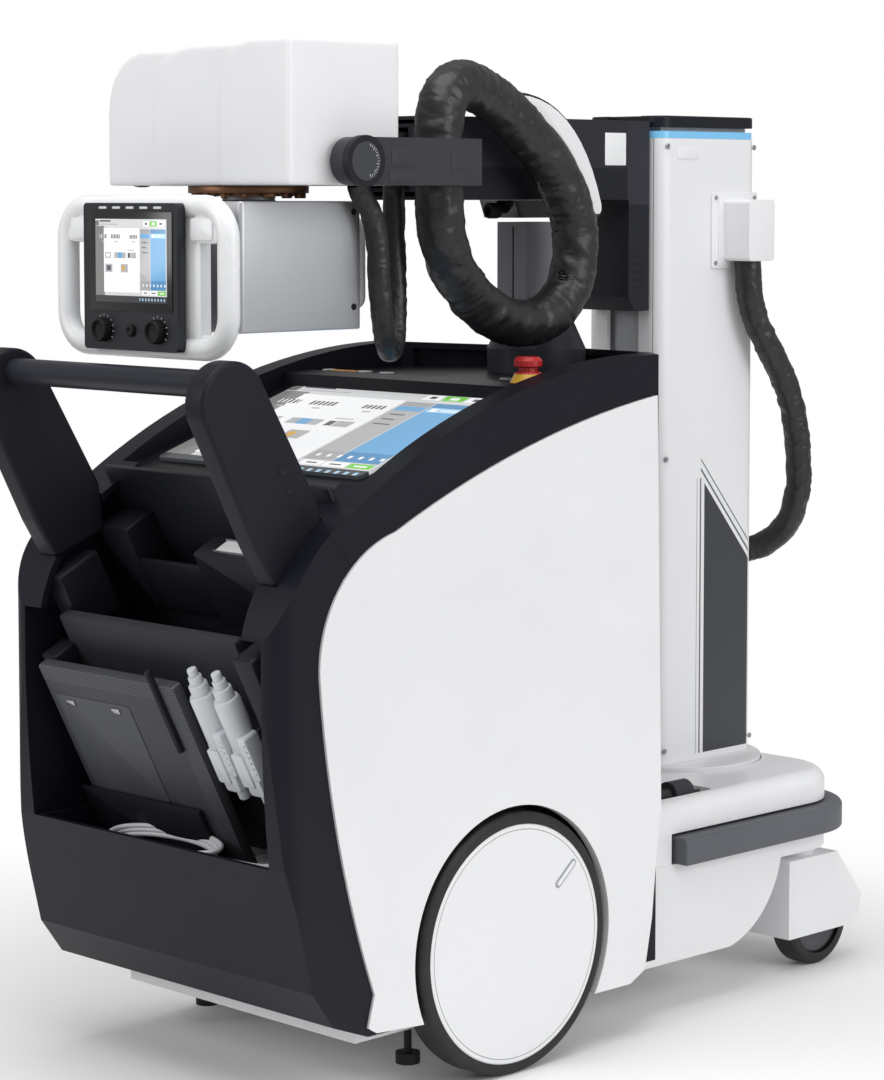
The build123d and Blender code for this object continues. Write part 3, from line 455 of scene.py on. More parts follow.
dress(["drive_tyre_right", "drive_tyre_left"], tyre_finish("tyre_rubber", drive_centre))
hub_plastic = white_plastic("hub_disc_plastic")
# Painted shade: a thin grey ring in the turned groove near the disc's rim.
hub_groove_shade = hub_plastic.radius(drive_centre).within(149.6, 150.8)
hub_plastic.feed("Base Color", hub_plastic.mix(hub_groove_shade, cover_white, (0.30, 0.31, 0.32)))
dress(["drive_hub_right", "drive_hub_left"], hub_plastic)
# Painted shade: the grey recess round each white rib stands for the shade on the slot's walls.
recess_shade_grey = white_plastic("hub_recess_grey", (0.34, 0.35, 0.37))
hub_mark_turn = math.radians(40.0)
hub_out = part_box("drive_hub_right")[1][0] / MM
for name, face, side in flanks:
    recess = block(face, (98, 146), (-5.5, 5.5), (hub_out - 1.0, hub_out + 0.5), 0.3, 5.2)
    rib = block(face, (101, 143), (-2.6, 2.6), (hub_out - 0.5, hub_out + 2.2), 1.0, 2.4)
    for piece, part, finish in (("recess", recess, recess_shade_grey), ("rib", rib, hub_plastic)):
        turn_about(part, drive_centre, hub_mark_turn, "X")
        fit("drive_hub_" + piece + "_" + name, [part], finish, "drive_wheel_" + name)


# Casters
# Two swivelling casters under white covers at the column's end. Each wheel is a grey moulded
# disc in a black rubber tread, with a groove where they meet that is darkened by painted shade.
caster_low, caster_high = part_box("caster_wheel_right")
caster_centre = (0, (caster_low[1] + caster_high[1]) / 2 / MM, (caster_low[2] + caster_high[2]) / 2 / MM)
caster_rubber = tyre_finish("caster_rubber", caster_centre, (0.016, 0.016, 0.017))
caster_radius = caster_rubber.radius(caster_centre)
caster_disc = caster_radius.step(50.0, 1.5)
# Painted shade: a ring darker than the rubber, in the groove between disc and tread.
caster_groove_shade = caster_radius.within(48.5, 51.5)
caster_grey = caster_rubber.mix(caster_disc, (0.075, 0.078, 0.085), (0.014, 0.014, 0.015))
caster_rubber.feed("Base Color", caster_rubber.mix(caster_groove_shade, caster_grey, (0.004, 0.004, 0.004)))
dress(["caster_wheel_right", "caster_wheel_left"], caster_rubber)


# Body
# A dark satin moulded shell with a white panel over each flank. A fine seam crosses the
# shell in front of the handle.
shell_plastic = graphite_plastic("graphite_shell_plastic")
seam_run = shell_plastic.along((0, 0.76, 0.65), (0, -452.0, 707.0))
seam = seam_run.within(-0.7, 0.7) * shell_plastic.along((1, 0, 0)).math("ABSOLUTE").step(234.0, 1.0)
seam = seam * shell_plastic.above(640.0, 1.0)
shell_plastic.feed("Base Color", shell_plastic.mix(seam, shell_graphite, (0.002, 0.002, 0.003)))
dress(["body_shell"], shell_plastic)
dress(["side_panel_right", "side_panel_left"], covers)
dress(["power_block"], zinc)


# Console
# A sloping touch screen in a dark deck, a glossy strip in front of it, and a bar of small
# buttons. The screen's picture is a plain set of panels, buttons and lists.
def paint_screen(finish, origin, right, up, width, height):
    """Panels, buttons and lists on a lit screen, in shares of its width and height."""
    across = finish.along(right, origin) * (1.0 / width)
    rise = finish.along(up, origin) * (1.0 / height)
    grey, white, dark = (0.60, 0.61, 0.62), (0.86, 0.87, 0.88), (0.035, 0.038, 0.042)
    blue, pale_blue, deep_blue = (0.13, 0.36, 0.62), (0.42, 0.66, 0.86), (0.07, 0.24, 0.46)
    list_grey, text, green = (0.42, 0.42, 0.43), (0.10, 0.10, 0.11), (0.16, 0.55, 0.05)
    tiles = (
        # left, right, bottom, top, colour
        (0.00, 0.13, 0.00, 0.915, (0.20, 0.20, 0.195)),
        (0.00, 0.05, 0.92, 0.98, (0.15, 0.15, 0.15)),
        (0.06, 0.22, 0.965, 0.985, text),
        (0.06, 0.32, 0.93, 0.942, list_grey),
        (0.12, 0.625, 0.12, 0.89, white),
        (0.055, 0.165, 0.765, 0.815, text),
        (0.22, 0.355, 0.765, 0.815, text),
        (0.48, 0.59, 0.765, 0.81, text),
        (0.09, 0.13, 0.72, 0.735, list_grey),
        (0.27, 0.31, 0.72, 0.735, list_grey),
        (0.52, 0.56, 0.72, 0.735, list_grey),
        (0.27, 0.43, 0.53, 0.60, list_grey),
        (0.32, 0.375, 0.53, 0.60, blue),
        (0.46, 0.495, 0.535, 0.595, text),
        (0.50, 0.58, 0.53, 0.60, list_grey),
        (0.46, 0.55, 0.62, 0.632, list_grey),
        (0.14, 0.22, 0.53, 0.60, list_grey),
        (0.155, 0.205, 0.545, 0.585, white),
        (0.36, 0.46, 0.36, 0.46, list_grey),
        (0.375, 0.41, 0.38, 0.44, (0.65, 0.36, 0.05)),
        (0.14, 0.24, 0.36, 0.46, list_grey),
        (0.16, 0.22, 0.38, 0.44, text),
        (0.635, 0.775, 0.155, 0.88, list_grey),
        (0.635, 0.775, 0.83, 0.88, (0.33, 0.33, 0.34)),
        (0.64, 0.77, 0.77, 0.825, blue),
        (0.66, 0.73, 0.715, 0.728, text),
        (0.66, 0.72, 0.655, 0.668, text),
        (0.66, 0.74, 0.595, 0.608, text),
        (0.635, 0.775, 0.155, 0.26, (0.36, 0.36, 0.37)),
        (0.78, 0.99, 0.155, 0.88, blue),
        (0.78, 0.99, 0.83, 0.88, deep_blue),
        (0.79, 0.985, 0.775, 0.825, pale_blue),
        (0.80, 0.83, 0.78, 0.82, white),
        (0.85, 0.93, 0.795, 0.805, white),
        (0.78, 0.99, 0.155, 0.27, deep_blue),
        (0.68, 0.76, 0.915, 0.975, white),
        (0.77, 0.87, 0.915, 0.975, green),
        (0.88, 0.97, 0.915, 0.975, white),
        (0.705, 0.735, 0.93, 0.96, text),
        (0.80, 0.84, 0.93, 0.96, white),
        (0.905, 0.945, 0.93, 0.96, text),
        (0.655, 0.755, 0.095, 0.145, white),
        (0.765, 0.87, 0.095, 0.145, white),
        (0.88, 0.99, 0.095, 0.145, green),
        (0.68, 0.73, 0.113, 0.127, text),
        (0.79, 0.845, 0.113, 0.127, text),
        (0.905, 0.965, 0.113, 0.127, white),
        (0.00, 1.00, 0.00, 0.08, dark),
    )
    colour = grey
    for left, far, low, high, shade in tiles:
        mask = across.within(left, far) * rise.within(low, high)
        colour = finish.mix(mask, colour, shade)
    icons = across.repeat(0.043).step(0.012, 0.004) * rise.within(0.025, 0.055)
    colour = finish.mix(icons * across.within(0.62, 0.99), colour, (0.35, 0.55, 0.72))
    foot = across.repeat(0.05).step(0.017, 0.004) * rise.within(0.195, 0.225)
    colour = finish.mix(foot * across.within(0.645, 0.985), colour, white)
    digits = across.repeat(0.022).step(0.004, 0.002)
    rows = rise.within(0.765, 0.815) * across.within(0.05, 0.6)
    colour = finish.mix(rows * (1.0 - digits), colour, white)
    return colour


def lit_screen(name, origin, right, up, width, height):
    """Glass over a lit picture."""
    finish = Finish(name, roughness=0.16, specular_ior_level=0.5, emission_strength=0.8)
    picture = paint_screen(finish, origin, right, up, width, height)
    finish.feed("Base Color", finish.mix(0.62, picture, (0.02, 0.02, 0.02)))
    finish.feed("Emission Color", picture)
    finish.feed("Roughness", finish.noise(40.0) * 0.06 + 0.12)
    return finish


deck_plastic = graphite_plastic("deck_plastic", (0.008, 0.0085, 0.0125), 0.32)
dress(["console_deck"], deck_plastic)
screen_corner = (-200.0, -361.0, 785.0)
screen_up = (0.0, 0.947, 0.3215)
screen_width, screen_height = 400.0, 275.6
screen_glass = lit_screen("screen_glass", screen_corner, (1, 0, 0), screen_up, screen_width, screen_height)
dress(["console_screen"], screen_glass)

gloss_black = Finish("gloss_black_plastic", base_color=(0.012, 0.012, 0.014), specular_ior_level=0.5)
gloss_black.feed("Roughness", gloss_black.noise(18.0) * 0.08 + 0.12)


def printed(name, colour, roughness=0.35, grain=60.0):
    """A small part or plate of one plain colour, with the slight unevenness of its print."""
    finish = Finish(name, base_color=colour)
    finish.feed("Roughness", finish.noise(grain) * 0.1 + roughness)
    return finish


light_print = printed("light_button_print", (0.62, 0.64, 0.66))
amber_print = printed("amber_button_print", (0.72, 0.36, 0.06))
blue_key = printed("blue_key_ring", (0.05, 0.25, 0.42), 0.25)
bar_face = face_frame((0, -50.0, 897.0), (1, 0, 0), (0, 1, 0))
bar_buttons = [
    block(bar_face, (-196, -186), (-9, 9), (0.0, 1.2), 0.4, 2.0),
    block(bar_face, (-127, -105), (-8, 8), (0.0, 1.6), 0.5, 7.5),
    block(bar_face, (-83, -61), (-8, 8), (0.0, 1.6), 0.5, 7.5),
]
fit("console_buttons", bar_buttons, light_print, "chassis")
lamp_count, lamp_pitch = 5, 10.5
amber_buttons = []
for step in range(lamp_count):
    left = -180.0 + lamp_pitch * step
    amber_buttons.append(block(bar_face, (left, left + 8), (-8, 6), (0.0, 1.0), 0.3, 1.0))
fit("console_indicator_lamps", amber_buttons, amber_print, "chassis")
key_guard = [block(bar_face, (150, 186), (-9, 7), (0.0, 4.0), 1.2, 7.5)]
fit("console_key_switch", key_guard, zinc, "chassis")

strip_face = face_frame((0, -100.0, 877.0), (1, 0, 0), (0, 0.9, 0.44))
strip_plate = [block(strip_face, (-232, 232), (4, 40), (-2.0, 0.6), 0.5, 2.0)]
fit("console_gloss_strip", strip_plate, gloss_black, "chassis")
reader_plate = [block(strip_face, (150, 196), (12, 30), (0.4, 2.2), 0.5, 3.0)]
fit("console_reader_plate", reader_plate, light_print, "chassis")
round_key = [disc(strip_face, (212, 21), 9.0, (0.4, 4.4), 0.8, 6.5)]
fit("console_round_key", round_key, blue_key, "chassis")

stop_red = Finish("stop_paint", specular_ior_level=0.5)
stop_height = stop_red.above(909.0, 0.6)
stop_ribs = stop_red.along((1, 0, 0)).repeat(3.0).step(0.75, 0.6)
stop_red.feed("Base Color", stop_red.mix(stop_height, (0.62, 0.36, 0.03), (0.42, 0.008, 0.008)))
stop_red.feed("Roughness", stop_red.noise(40.0) * 0.12 + 0.28)
stop_red.feed("Normal", stop_red.bump(stop_ribs * stop_height, 0.4, 0.001))
dress(["emergency_stop"], stop_red)


# Handle
# A grey coated bar between two moulded paddles. Each paddle's outer face has two plugs over
# its screws.
handle_coating = graphite_plastic("handle_coating", (0.022, 0.0235, 0.031), 0.34, 300.0)
dress(["handle_bar"], handle_coating)
paddle_plastic = graphite_plastic("paddle_plastic", (0.0105, 0.0112, 0.0165), 0.46)
paddle_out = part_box("handle_paddle_right")[1][0] / MM
for name, face, side in flanks:
    rounded_copy("handle_paddle_" + name, 3.0, paddle_plastic, "chassis")
for name, face, side in flanks:
    plugs = []
    for run, rise in ((-518.0, 812.0), (-507.0, 789.0)):
        plugs.append(disc(face, (side * run, rise), 7.0, (paddle_out - 0.6, paddle_out + 0.7), 0.4, 5.6))
    fit("handle_screw_plugs_" + name, plugs, paddle_plastic, "chassis")


# Dock post
# A painted post on the deck that the arm rests in while the machine travels: grey above,
# dark at its foot.
dock_grey = (0.20, 0.205, 0.22)
dock_paint = graphite_plastic("dock_paint", dock_grey, 0.40, 500.0)
dock_paint.feed("Base Color", dock_paint.mix(dock_paint.above(985.0, 1.0), (0.026, 0.027, 0.034), dock_grey))
dress(["dock_post"], dock_paint)
dock_low, dock_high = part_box("dock_post")
dock_front, dock_top = -dock_low[1] / MM, dock_high[2] / MM
dock_seam = [block(end_face, (20, 22.5), (990, dock_top - 6), (dock_front - 0.5, dock_front + 0.4), 0.2)]
fit("dock_post_seam", dock_seam, pad_rubber, "chassis")


# Column
# A white painted column with a slot for the mast in its front, a dark cap, a blue light
# strip under it and a plain dark patch with slanted lines on its lower flank.
column_white = (0.78, 0.785, 0.80)
line_grey = (0.10, 0.105, 0.12)
patch_edge, patch_foot, patch_peak = 458.0, 318.0, 720.0
column_paint = white_plastic("column_enamel", column_white, 0.36)
column_across = column_paint.along((1, 0, 0))
column_flank = column_across.step(73.0, 0.5)
patch_run = column_paint.along((0, 1, 0), (0, patch_edge, 0))
slant = column_paint.along((0, 0.76, 0.65), (0, patch_edge, patch_peak))
over_foot = column_paint.above(patch_foot) * column_flank
patch = (1.0 - slant.step(0.0, 0.6)) * patch_run.step(0.0, 0.4) * over_foot
stripes = (slant.within(6.0, 9.0) + slant.within(16.0, 18.0)) * patch_run.step(-8.0, 0.4)
stripes = stripes * column_flank * column_paint.above(560.0, 1.0)
edge_lines = (patch_run.within(-10.0, -7.0) + patch_run.within(-17.0, -16.0)) * over_foot
edge_lines = edge_lines * (1.0 - column_paint.above(728.0))
column_colour = column_paint.mix(patch, column_white, (0.040, 0.043, 0.052))
column_colour = column_paint.mix(stripes.math("MINIMUM", 1.0), column_colour, line_grey)
column_colour = column_paint.mix(edge_lines.math("MINIMUM", 1.0), column_colour, line_grey)
# Painted shade: the narrow end face beside the mast slot is painted grey, with dark lines of painted shade
# along the slot's edge and the corner.
column_end = 1.0 - column_paint.along((0, 1, 0)).step(359.0, 0.5)
for band, colour in (
    (column_across.step(60.0, 0.3), (0.40, 0.41, 0.43)),
    (column_across.within(57.5, 60.0), (0.06, 0.062, 0.07)),
    (column_across.within(71.5, 73.0), (0.12, 0.122, 0.13)),
):
    column_colour = column_paint.mix(band * column_end, column_colour, colour)
column_paint.feed("Base Color", column_colour)
dress(["column_outer"], column_paint)
mast_paint = white_plastic("mast_paint", (0.42, 0.43, 0.45), 0.4)
dress(["mast"], mast_paint)
rounded_copy("hose_box", 4.0, column_paint, "column")
cap_plastic = graphite_plastic("cap_plastic", (0.012, 0.013, 0.018), 0.4)
dress(["mast_cap"], cap_plastic)
lens = Finish("blue_light_strip", roughness=0.2, base_color=(0.16, 0.42, 0.66), emission_strength=0.25)
lens.feed("Emission Color", lens.mix(lens.noise(30.0), (0.16, 0.45, 0.72), (0.22, 0.52, 0.78)))
lens.feed("Roughness", lens.noise(60.0) * 0.1 + 0.15)
dress(["light_strip"], lens)


def screws(places, radius, w, edge=0.5, socket=2.4):
    """Screw heads with round sockets, on the machine's right."""
    return [disc(right_face, place, radius, w, edge, socket, 20) for place in places]


column_places = ((372.0, 1214.0), (372.0, 760.0), (566.0, 1214.0), (566.0, 330.0), (372.0, 330.0))
fit("column_screws", screws(column_places, 4.0, (73.6, 75.4)), zinc, "column")
column_hatch = [block(right_face, (392, 440), (1196, 1212), (73.6, 75.0), 0.4, 2.0)]
fit("column_hatch", column_hatch, column_paint, "column")
flange = [block(right_face, (468, 572), (1036, 1148), (73.5, 77.0), 0.8, 4.0)]
fit("hose_box_flange", flange, column_paint, "column")
flange_places = ((476.0, 1140.0), (476.0, 1044.0), (564.0, 1140.0), (564.0, 1044.0))
flange_screws = screws(flange_places, 3.2, (76.6, 78.6), 0.4, 2.0)
fit("hose_box_screws", flange_screws, zinc, "column")


# Arm
# A telescopic arm of painted extrusions on a carriage that runs up the mast. The arm and the
# carriage are darker below a crease, as painted shade where their faces turn down.
def arm_paint_with_shade(name, low, high, crease):
    """Satin paint with one colour over a height in mm and a darker one under it, as painted shade."""
    finish = graphite_plastic(name, high, 0.40, 600.0)
    finish.feed("Base Color", finish.mix(finish.above(crease, 3.0), low, high))
    return finish


# Painted shade: arm and carriage are darker under their creases, where their faces turn down.
arm_paint = arm_paint_with_shade("arm_graphite_paint", (0.012, 0.013, 0.018), (0.024, 0.025, 0.032), 1182.0)
dress(["arm_outer", "arm_middle", "arm_inner"], arm_paint)
carriage_paint = arm_paint_with_shade("carriage_paint", (0.015, 0.016, 0.022), (0.030, 0.031, 0.040), 1130.0)
dress(["carriage"], carriage_paint)
dress(["arm_lock"], gloss_black)
blank_plate = printed("blank_plate_print", (0.78, 0.79, 0.80), 0.3, 80.0)
arm_plate = [block(right_face, (252, 296), (1186, 1232), (59.8, 60.9), 0.3, 1.5)]
fit("arm_blank_plate", arm_plate, blank_plate, "carriage")
lock_knob = [disc(end_face, (0.0, 1122.0), 11.0, (-96.0, -76.0), 2.5, 6.0)]
fit("arm_lock_knob", lock_knob, pad_rubber, "carriage")
vent_count, vent_pitch = 5, 11.0
vents = []
for step in range(vent_count):
    rise = 1010.0 + vent_pitch * step
    vents.append(block(right_face, (318, 344), (rise, rise + 4.5), (55.6, 56.5), 0.2, 2.0))
fit("carriage_vents", vents, pad_rubber, "carriage")


def bowed_line(start, middle, end, count=13):
    """Points of a smooth bow from start to end that is pulled towards middle."""
    points = []
    for step in range(count):
        share = step / (count - 1)
        near, reach, far = (1 - share) ** 2, 2 * share * (1 - share), share ** 2
        points.append(tuple(near * a + reach * b + far * c for a, b, c in zip(start, middle, end)))
    return points


def bowed_plate(face, outline, w, edge):
    """A plate with a curved outline, on a face."""
    mesh = bpy.data.meshes.new("plate")
    low, high = w
    mesh.from_pydata([(u * MM, v * MM, low * MM) for u, v in outline], [], [tuple(range(len(outline)))])
    plate = bpy.data.objects.new("plate", mesh)
    bpy.context.scene.collection.objects.link(plate)
    take(plate)
    bpy.ops.object.mode_set(mode="EDIT")
    bpy.ops.mesh.select_all(action="SELECT")
    bpy.ops.mesh.extrude_region_move(TRANSFORM_OT_translate={"value": (0.0, 0.0, (high - low) * MM)})
    bpy.ops.mesh.select_all(action="SELECT")
    bpy.ops.mesh.normals_make_consistent(inside=False)
    bpy.ops.mesh.select_mode(type="EDGE")
    round_sharp_edges(edge, 3)
    bpy.ops.object.mode_set(mode="OBJECT")
    plate.matrix_basis = face @ plate.matrix_basis
    return plate


wing_outline = bowed_line((50, 1281), (190, 1290), (240, 1130))
wing_outline += bowed_line((240, 1130), (243, 1112), (224, 1118), 5)[1:]
wing_outline += bowed_line((224, 1118), (172, 1258), (50, 1266))[1:]
wing = [bowed_plate(right_face, wing_outline, (60.2, 65.5), 1.2)]
fit("arm_wing_cover", wing, covers, "carriage")
wing_trim_outline = bowed_line((46, 1285), (194, 1295), (245, 1128))
wing_trim_outline += bowed_line((245, 1128), (245, 1105), (220, 1113), 5)[1:]
wing_trim_outline += bowed_line((220, 1113), (169, 1255), (46, 1262))[1:]
wing_trim = [bowed_plate(right_face, wing_trim_outline, (58.0, 61.5), 0.6)]
fit("arm_wing_trim", wing_trim, gloss_black, "carriage")


# Yoke
# A painted fork that rolls on the arm's end and carries the tube head between two moulded
# discs. The right disc has a printed scale, and the fork beside it three blank plates.
yoke_paint = graphite_plastic("yoke_graphite_paint", (0.040, 0.041, 0.049), 0.38, 500.0)
dress(["yoke"], yoke_paint)
yoke_plates = [
    block(right_face, (-316, -268), (1160, 1174), (211.6, 212.7), 0.3, 1.0),
    block(right_face, (-206, -178), (1176, 1200), (211.6, 212.7), 0.3, 1.0),
    block(right_face, (-312, -272), (1180, 1204), (211.6, 212.7), 0.3, 1.0),
]
fit("yoke_blank_plates", yoke_plates, yoke_paint, "yoke")

tilt_pivot = (0.0, -365.0, 1186.0)
tick_count, tick_turn, tick_radius = 15, 10.0, 22.0
disc_plastic = graphite_plastic("tilt_disc_plastic", (0.030, 0.031, 0.037), 0.45)
disc_radius = disc_plastic.radius(tilt_pivot)
disc_colour = disc_plastic.mix(disc_radius.step(25.0, 1.0), (0.050, 0.052, 0.060), (0.013, 0.014, 0.018))
disc_colour = disc_plastic.mix(disc_radius.within(24.3, 25.5), disc_colour, (0.008, 0.008, 0.009))
disc_plastic.feed("Base Color", disc_colour)
dress(["tilt_disc_right", "tilt_disc_left"], disc_plastic)
disc_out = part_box("tilt_disc_right")[1][0] / MM
ticks = []
for step in range(tick_count):
    length = 4.5 if step % 3 == 0 else 2.6
    run = (tick_radius - length, tick_radius)
    tick = block(right_face, run, (-0.35, 0.35), (disc_out - 0.3, disc_out + 0.25), 0.08)
    turn_about(tick, tilt_pivot, math.radians(-70.0 + tick_turn * step), "X")
    ticks.append(tick)
fit("tilt_disc_scale", ticks, light_print, "tube_head")


# Tube head
# The white moulding over the x-ray tube: three lobes, each a step prouder than the one
# before it, run together with soft creases between them.
upright_radius = 38.0
rim_radius = 26.0
skin_voxel = 2.8


def head_lobe(left, inset, shoulder_radius):
    """One rounded lobe from its left edge to the head's right edge."""
    low, high = (Vector(corner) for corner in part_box("tube_housing"))
    low.x = left * MM
    low.y += 0.35 * inset * MM
    high.z -= inset * MM
    middle = (low + high) / 2
    bpy.ops.object.select_all(action="DESELECT")
    bpy.ops.mesh.primitive_cube_add(size=1.0, location=middle, scale=high - low)
    lobe = bpy.context.object
    bpy.ops.object.transform_apply(location=True, rotation=False, scale=True)
    bpy.ops.object.mode_set(mode="EDIT")

    def is_upper(side):
        return min(side.verts[0].co.z, side.verts[1].co.z) > middle.z

    def is_shoulder(side):
        first, second = side.verts[0].co, side.verts[1].co
        return abs((second - first).normalized().y) > 0.9 and is_upper(side) and first.x < middle.x

    def is_rim(side):
        return is_upper(side) and side.calc_face_angle(0.0) > math.radians(60)

    for wanted, radius in ((is_shoulder, shoulder_radius), (runs_up, upright_radius), (is_rim, rim_radius)):
        pick(lobe, "EDGE", wanted)
        bpy.ops.mesh.bevel(offset=radius * MM, segments=8, affect="EDGES", clamp_overlap=True)
    bpy.ops.object.mode_set(mode="OBJECT")
    return lobe


take(
    # left edge, inset, shoulder radius
    head_lobe(-180.0, 9.0, 76.0),
    head_lobe(-84.0, 4.5, 70.0),
    head_lobe(46.0, 0.0, 66.0),
)
bpy.ops.object.join()
head_cover = bpy.context.object
skin = head_cover.modifiers.new("one_skin", "REMESH")
skin.mode = "VOXEL"
skin.voxel_size = skin_voxel * MM
bpy.ops.object.modifier_apply(modifier="one_skin")
softening = head_cover.modifiers.new("softening", "SMOOTH")
softening.factor = 0.5
softening.iterations = 10
bpy.ops.object.modifier_apply(modifier="softening")
head_cover = fit("tube_head_cover", [head_cover], covers, "tube_head")
bpy.ops.object.shade_smooth()
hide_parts("tube_housing")


# Collimator
# A box of brushed alloy that turns under the head in a bronze bearing with a ring of bolts.
# A white moulded cover closes the box's far side.
def brushed(name, colour, roughness=0.34, stretch=(1.0, 1.0, 60.0)):
    """Metal with fine lines across the axis that is stretched most."""
    finish = Finish(name, base_color=colour, metallic=1.0)
    lines = finish.noise(30.0, 4.0, 0.7, stretch)
    finish.feed("Base Color", finish.mix(lines, tuple(c * 0.8 for c in colour), colour))
    finish.feed("Roughness", lines * 0.22 + (roughness - 0.1))
    finish.feed("Normal", finish.bump(lines, 0.10, 0.0003))
    return finish


collimator_alloy = brushed("collimator_alloy", (0.60, 0.61, 0.63), 0.42, (60.0, 60.0, 1.0))
collimator_alloy.feed("Metallic", 0.75)
rounded_copy("collimator", 2.5, collimator_alloy, "collimator")
bracket_alloy = brushed("bracket_alloy", (0.40, 0.41, 0.43))
dress(["display_bracket"], bracket_alloy)
bronze = brushed("bronze_bearing", (0.20, 0.105, 0.06), 0.40, (1.0, 1.0, 8.0))
dress(["collimator_ring"], bronze)
bearing = [disc(top_face, tilt_pivot[:2], 78.0, (1146.0, 1155.6), 1.0, 60.0, 64)]
fit("bearing_flange", bearing, bronze, "tube_head")
bolt_count, bolt_circle = 16, 70.0
bolts = []
for step in range(bolt_count):
    turn = 2 * math.pi * step / bolt_count
    place = (bolt_circle * math.cos(turn), tilt_pivot[1] + bolt_circle * math.sin(turn))
    bolts.append(disc(top_face, place, 4.2, (1139.5, 1147.0), 0.5, 0.0, 6))
fit("bearing_bolts", bolts, bronze, "tube_head")
alloy_screws = screws(((-276.0, 1122.0), (-276.0, 1000.0)), 4.2, (102.4, 104.4))
fit("collimator_screws", alloy_screws, pad_rubber, "collimator")
rear_cover = [block(rear_face, (-100, 100), (996, 1116), (-262.5, -249.5), 5.0, 16.0)]
fit("collimator_rear_cover", rear_cover, covers, "collimator")


# Display
# A touch display with knobs and keys in a metal case, inside a white moulded grip ring that
# the user turns the collimator by.
display_white = white_plastic("display_ring_plastic", (0.80, 0.81, 0.82), 0.28)
ring_radius = 14.0
ring_corner = 42.0
ring_low, ring_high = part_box("display_ring")
ring_depth = -(ring_low[1] + ring_high[1]) / 2 / MM
ring_out = ring_high[0] / MM - ring_radius
ring_floor, ring_crown = ring_low[2] / MM + ring_radius, ring_high[2] / MM - ring_radius
corner_out = ring_out - ring_corner
corner_high, corner_low = ring_crown - ring_corner, ring_floor + ring_corner
ring_line = []
for turn, across, rise in (
    (0.0, corner_out, corner_high),
    (90.0, -corner_out, corner_high),
    (180.0, -corner_out, corner_low),
    (270.0, corner_out, corner_low),
):
    for step in range(10):
        angle = math.radians(turn + 10.0 * step)
        ring_line.append((across + ring_corner * math.cos(angle), rise + ring_corner * math.sin(angle)))
ring_curve = bpy.data.curves.new("grip_ring", "CURVE")
ring_curve.dimensions = "3D"
ring_spline = ring_curve.splines.new("POLY")
ring_spline.points.add(len(ring_line) - 1)
for point, (across, rise) in zip(ring_spline.points, ring_line):
    point.co = (across * MM, -ring_depth * MM, rise * MM, 1.0)
ring_spline.use_cyclic_u = True
ring_curve.bevel_depth = ring_radius * MM
ring_curve.bevel_resolution = 8
ring_tube = bpy.data.objects.new("grip_ring", ring_curve)
bpy.context.scene.collection.objects.link(ring_tube)
take(ring_tube)
bpy.ops.object.convert(target="MESH")
ring_parts = [
    bpy.context.object,
    block(end_face, (-112, 112), (946, 1138), (ring_depth - 12, ring_depth + 6), 3.0, 20.0),
]
for rise, front, corner in (((1084, 1122), ring_depth + 9, 12.0), ((950, 972), ring_depth + 4, 8.0)):
    for across in ((-150, -100), (100, 150)):
        ring_parts.append(block(end_face, across, rise, (ring_depth - 8, front), 4.0, corner))
grip_ring = fit("display_grip_ring", ring_parts, display_white, "collimator")
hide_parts("display_ring")
triggers = []
for across in ((98, 140), (-140, -98)):
    triggers.append(block(end_face, across, (1088, 1116), (ring_depth + 8, ring_depth + 11.5), 1.6, 5.0))
fit("display_grip_triggers", triggers, display_white, "collimator")
module_metal = brushed("display_module_metal", (0.060, 0.062, 0.068), 0.42, (1.0, 60.0, 60.0))
dress(["display_module"], module_metal)
module_out = 562.0
bezel = [block(end_face, (-78, 84), (998, 1124), (module_out - 1.0, module_out + 1.2), 0.4, 5.0)]
fit("display_bezel", bezel, gloss_black, "collimator")
panel_left, panel_low, panel_width, panel_height = -66.0, 1010.0, 140.0, 104.0
display_glass = lit_screen(
    "display_glass", (panel_left, 0, panel_low), (1, 0, 0), (0, 0, 1), panel_width, panel_height
)
panel_across, panel_rise = (panel_left, panel_left + panel_width), (panel_low, panel_low + panel_height)
panel = [block(end_face, panel_across, panel_rise, (module_out + 0.8, module_out + 1.6), 0.15, 1.0)]
fit("display_screen", panel, display_glass, "collimator")
key_count, key_pitch, key_out = 5, 27.0, (module_out - 0.4, module_out + 0.9)
keys = []
for step in range(key_count):
    left = -60.0 + key_pitch * step
    keys.append(block(end_face, (left, left + 15), (1126.6, 1129.6), key_out, 0.3, 1.2))
fit("display_keys", keys, light_print, "collimator")


def knob(face, centre, radius, w, ribs):
    """A turned knob with a ribbed skirt and a hollow top."""
    made = [disc(face, centre, radius, w, 1.2, radius - 3.5, 48)]
    low, high = w
    rib_circle = radius - 0.2
    for step in range(ribs):
        turn = 2 * math.pi * step / ribs
        place = (centre[0] + rib_circle * math.cos(turn), centre[1] + rib_circle * math.sin(turn))
        made.append(disc(face, place, 0.9, (low, high - 1.5), 0.2, 0.0, 8))
    return made


knob_row = 975.0
dials = (-52.0, 54.0)
knobs = []
for middle, radius, depth in ((dials[0], 14.5, 11.0), (dials[1], 14.5, 11.0), (3.0, 7.0, 5.0)):
    knobs += knob(end_face, (middle, knob_row), radius, (module_out - 0.5, module_out + depth), 24)
fit("display_knobs", knobs, pad_rubber, "collimator")
mark_count, mark_turn = 11, 24.0
knob_marks = []
for middle in dials:
    for step in range(mark_count):
        mark = block(end_face, (17.0, 19.6), (-0.35, 0.35), (module_out - 0.2, module_out + 0.25), 0.08)
        turn_about(mark, (middle, 0.0, knob_row), math.radians(30.0 - mark_turn * step), "Y")
        knob_marks.append(mark)
fit("display_knob_marks", knob_marks, light_print, "collimator")


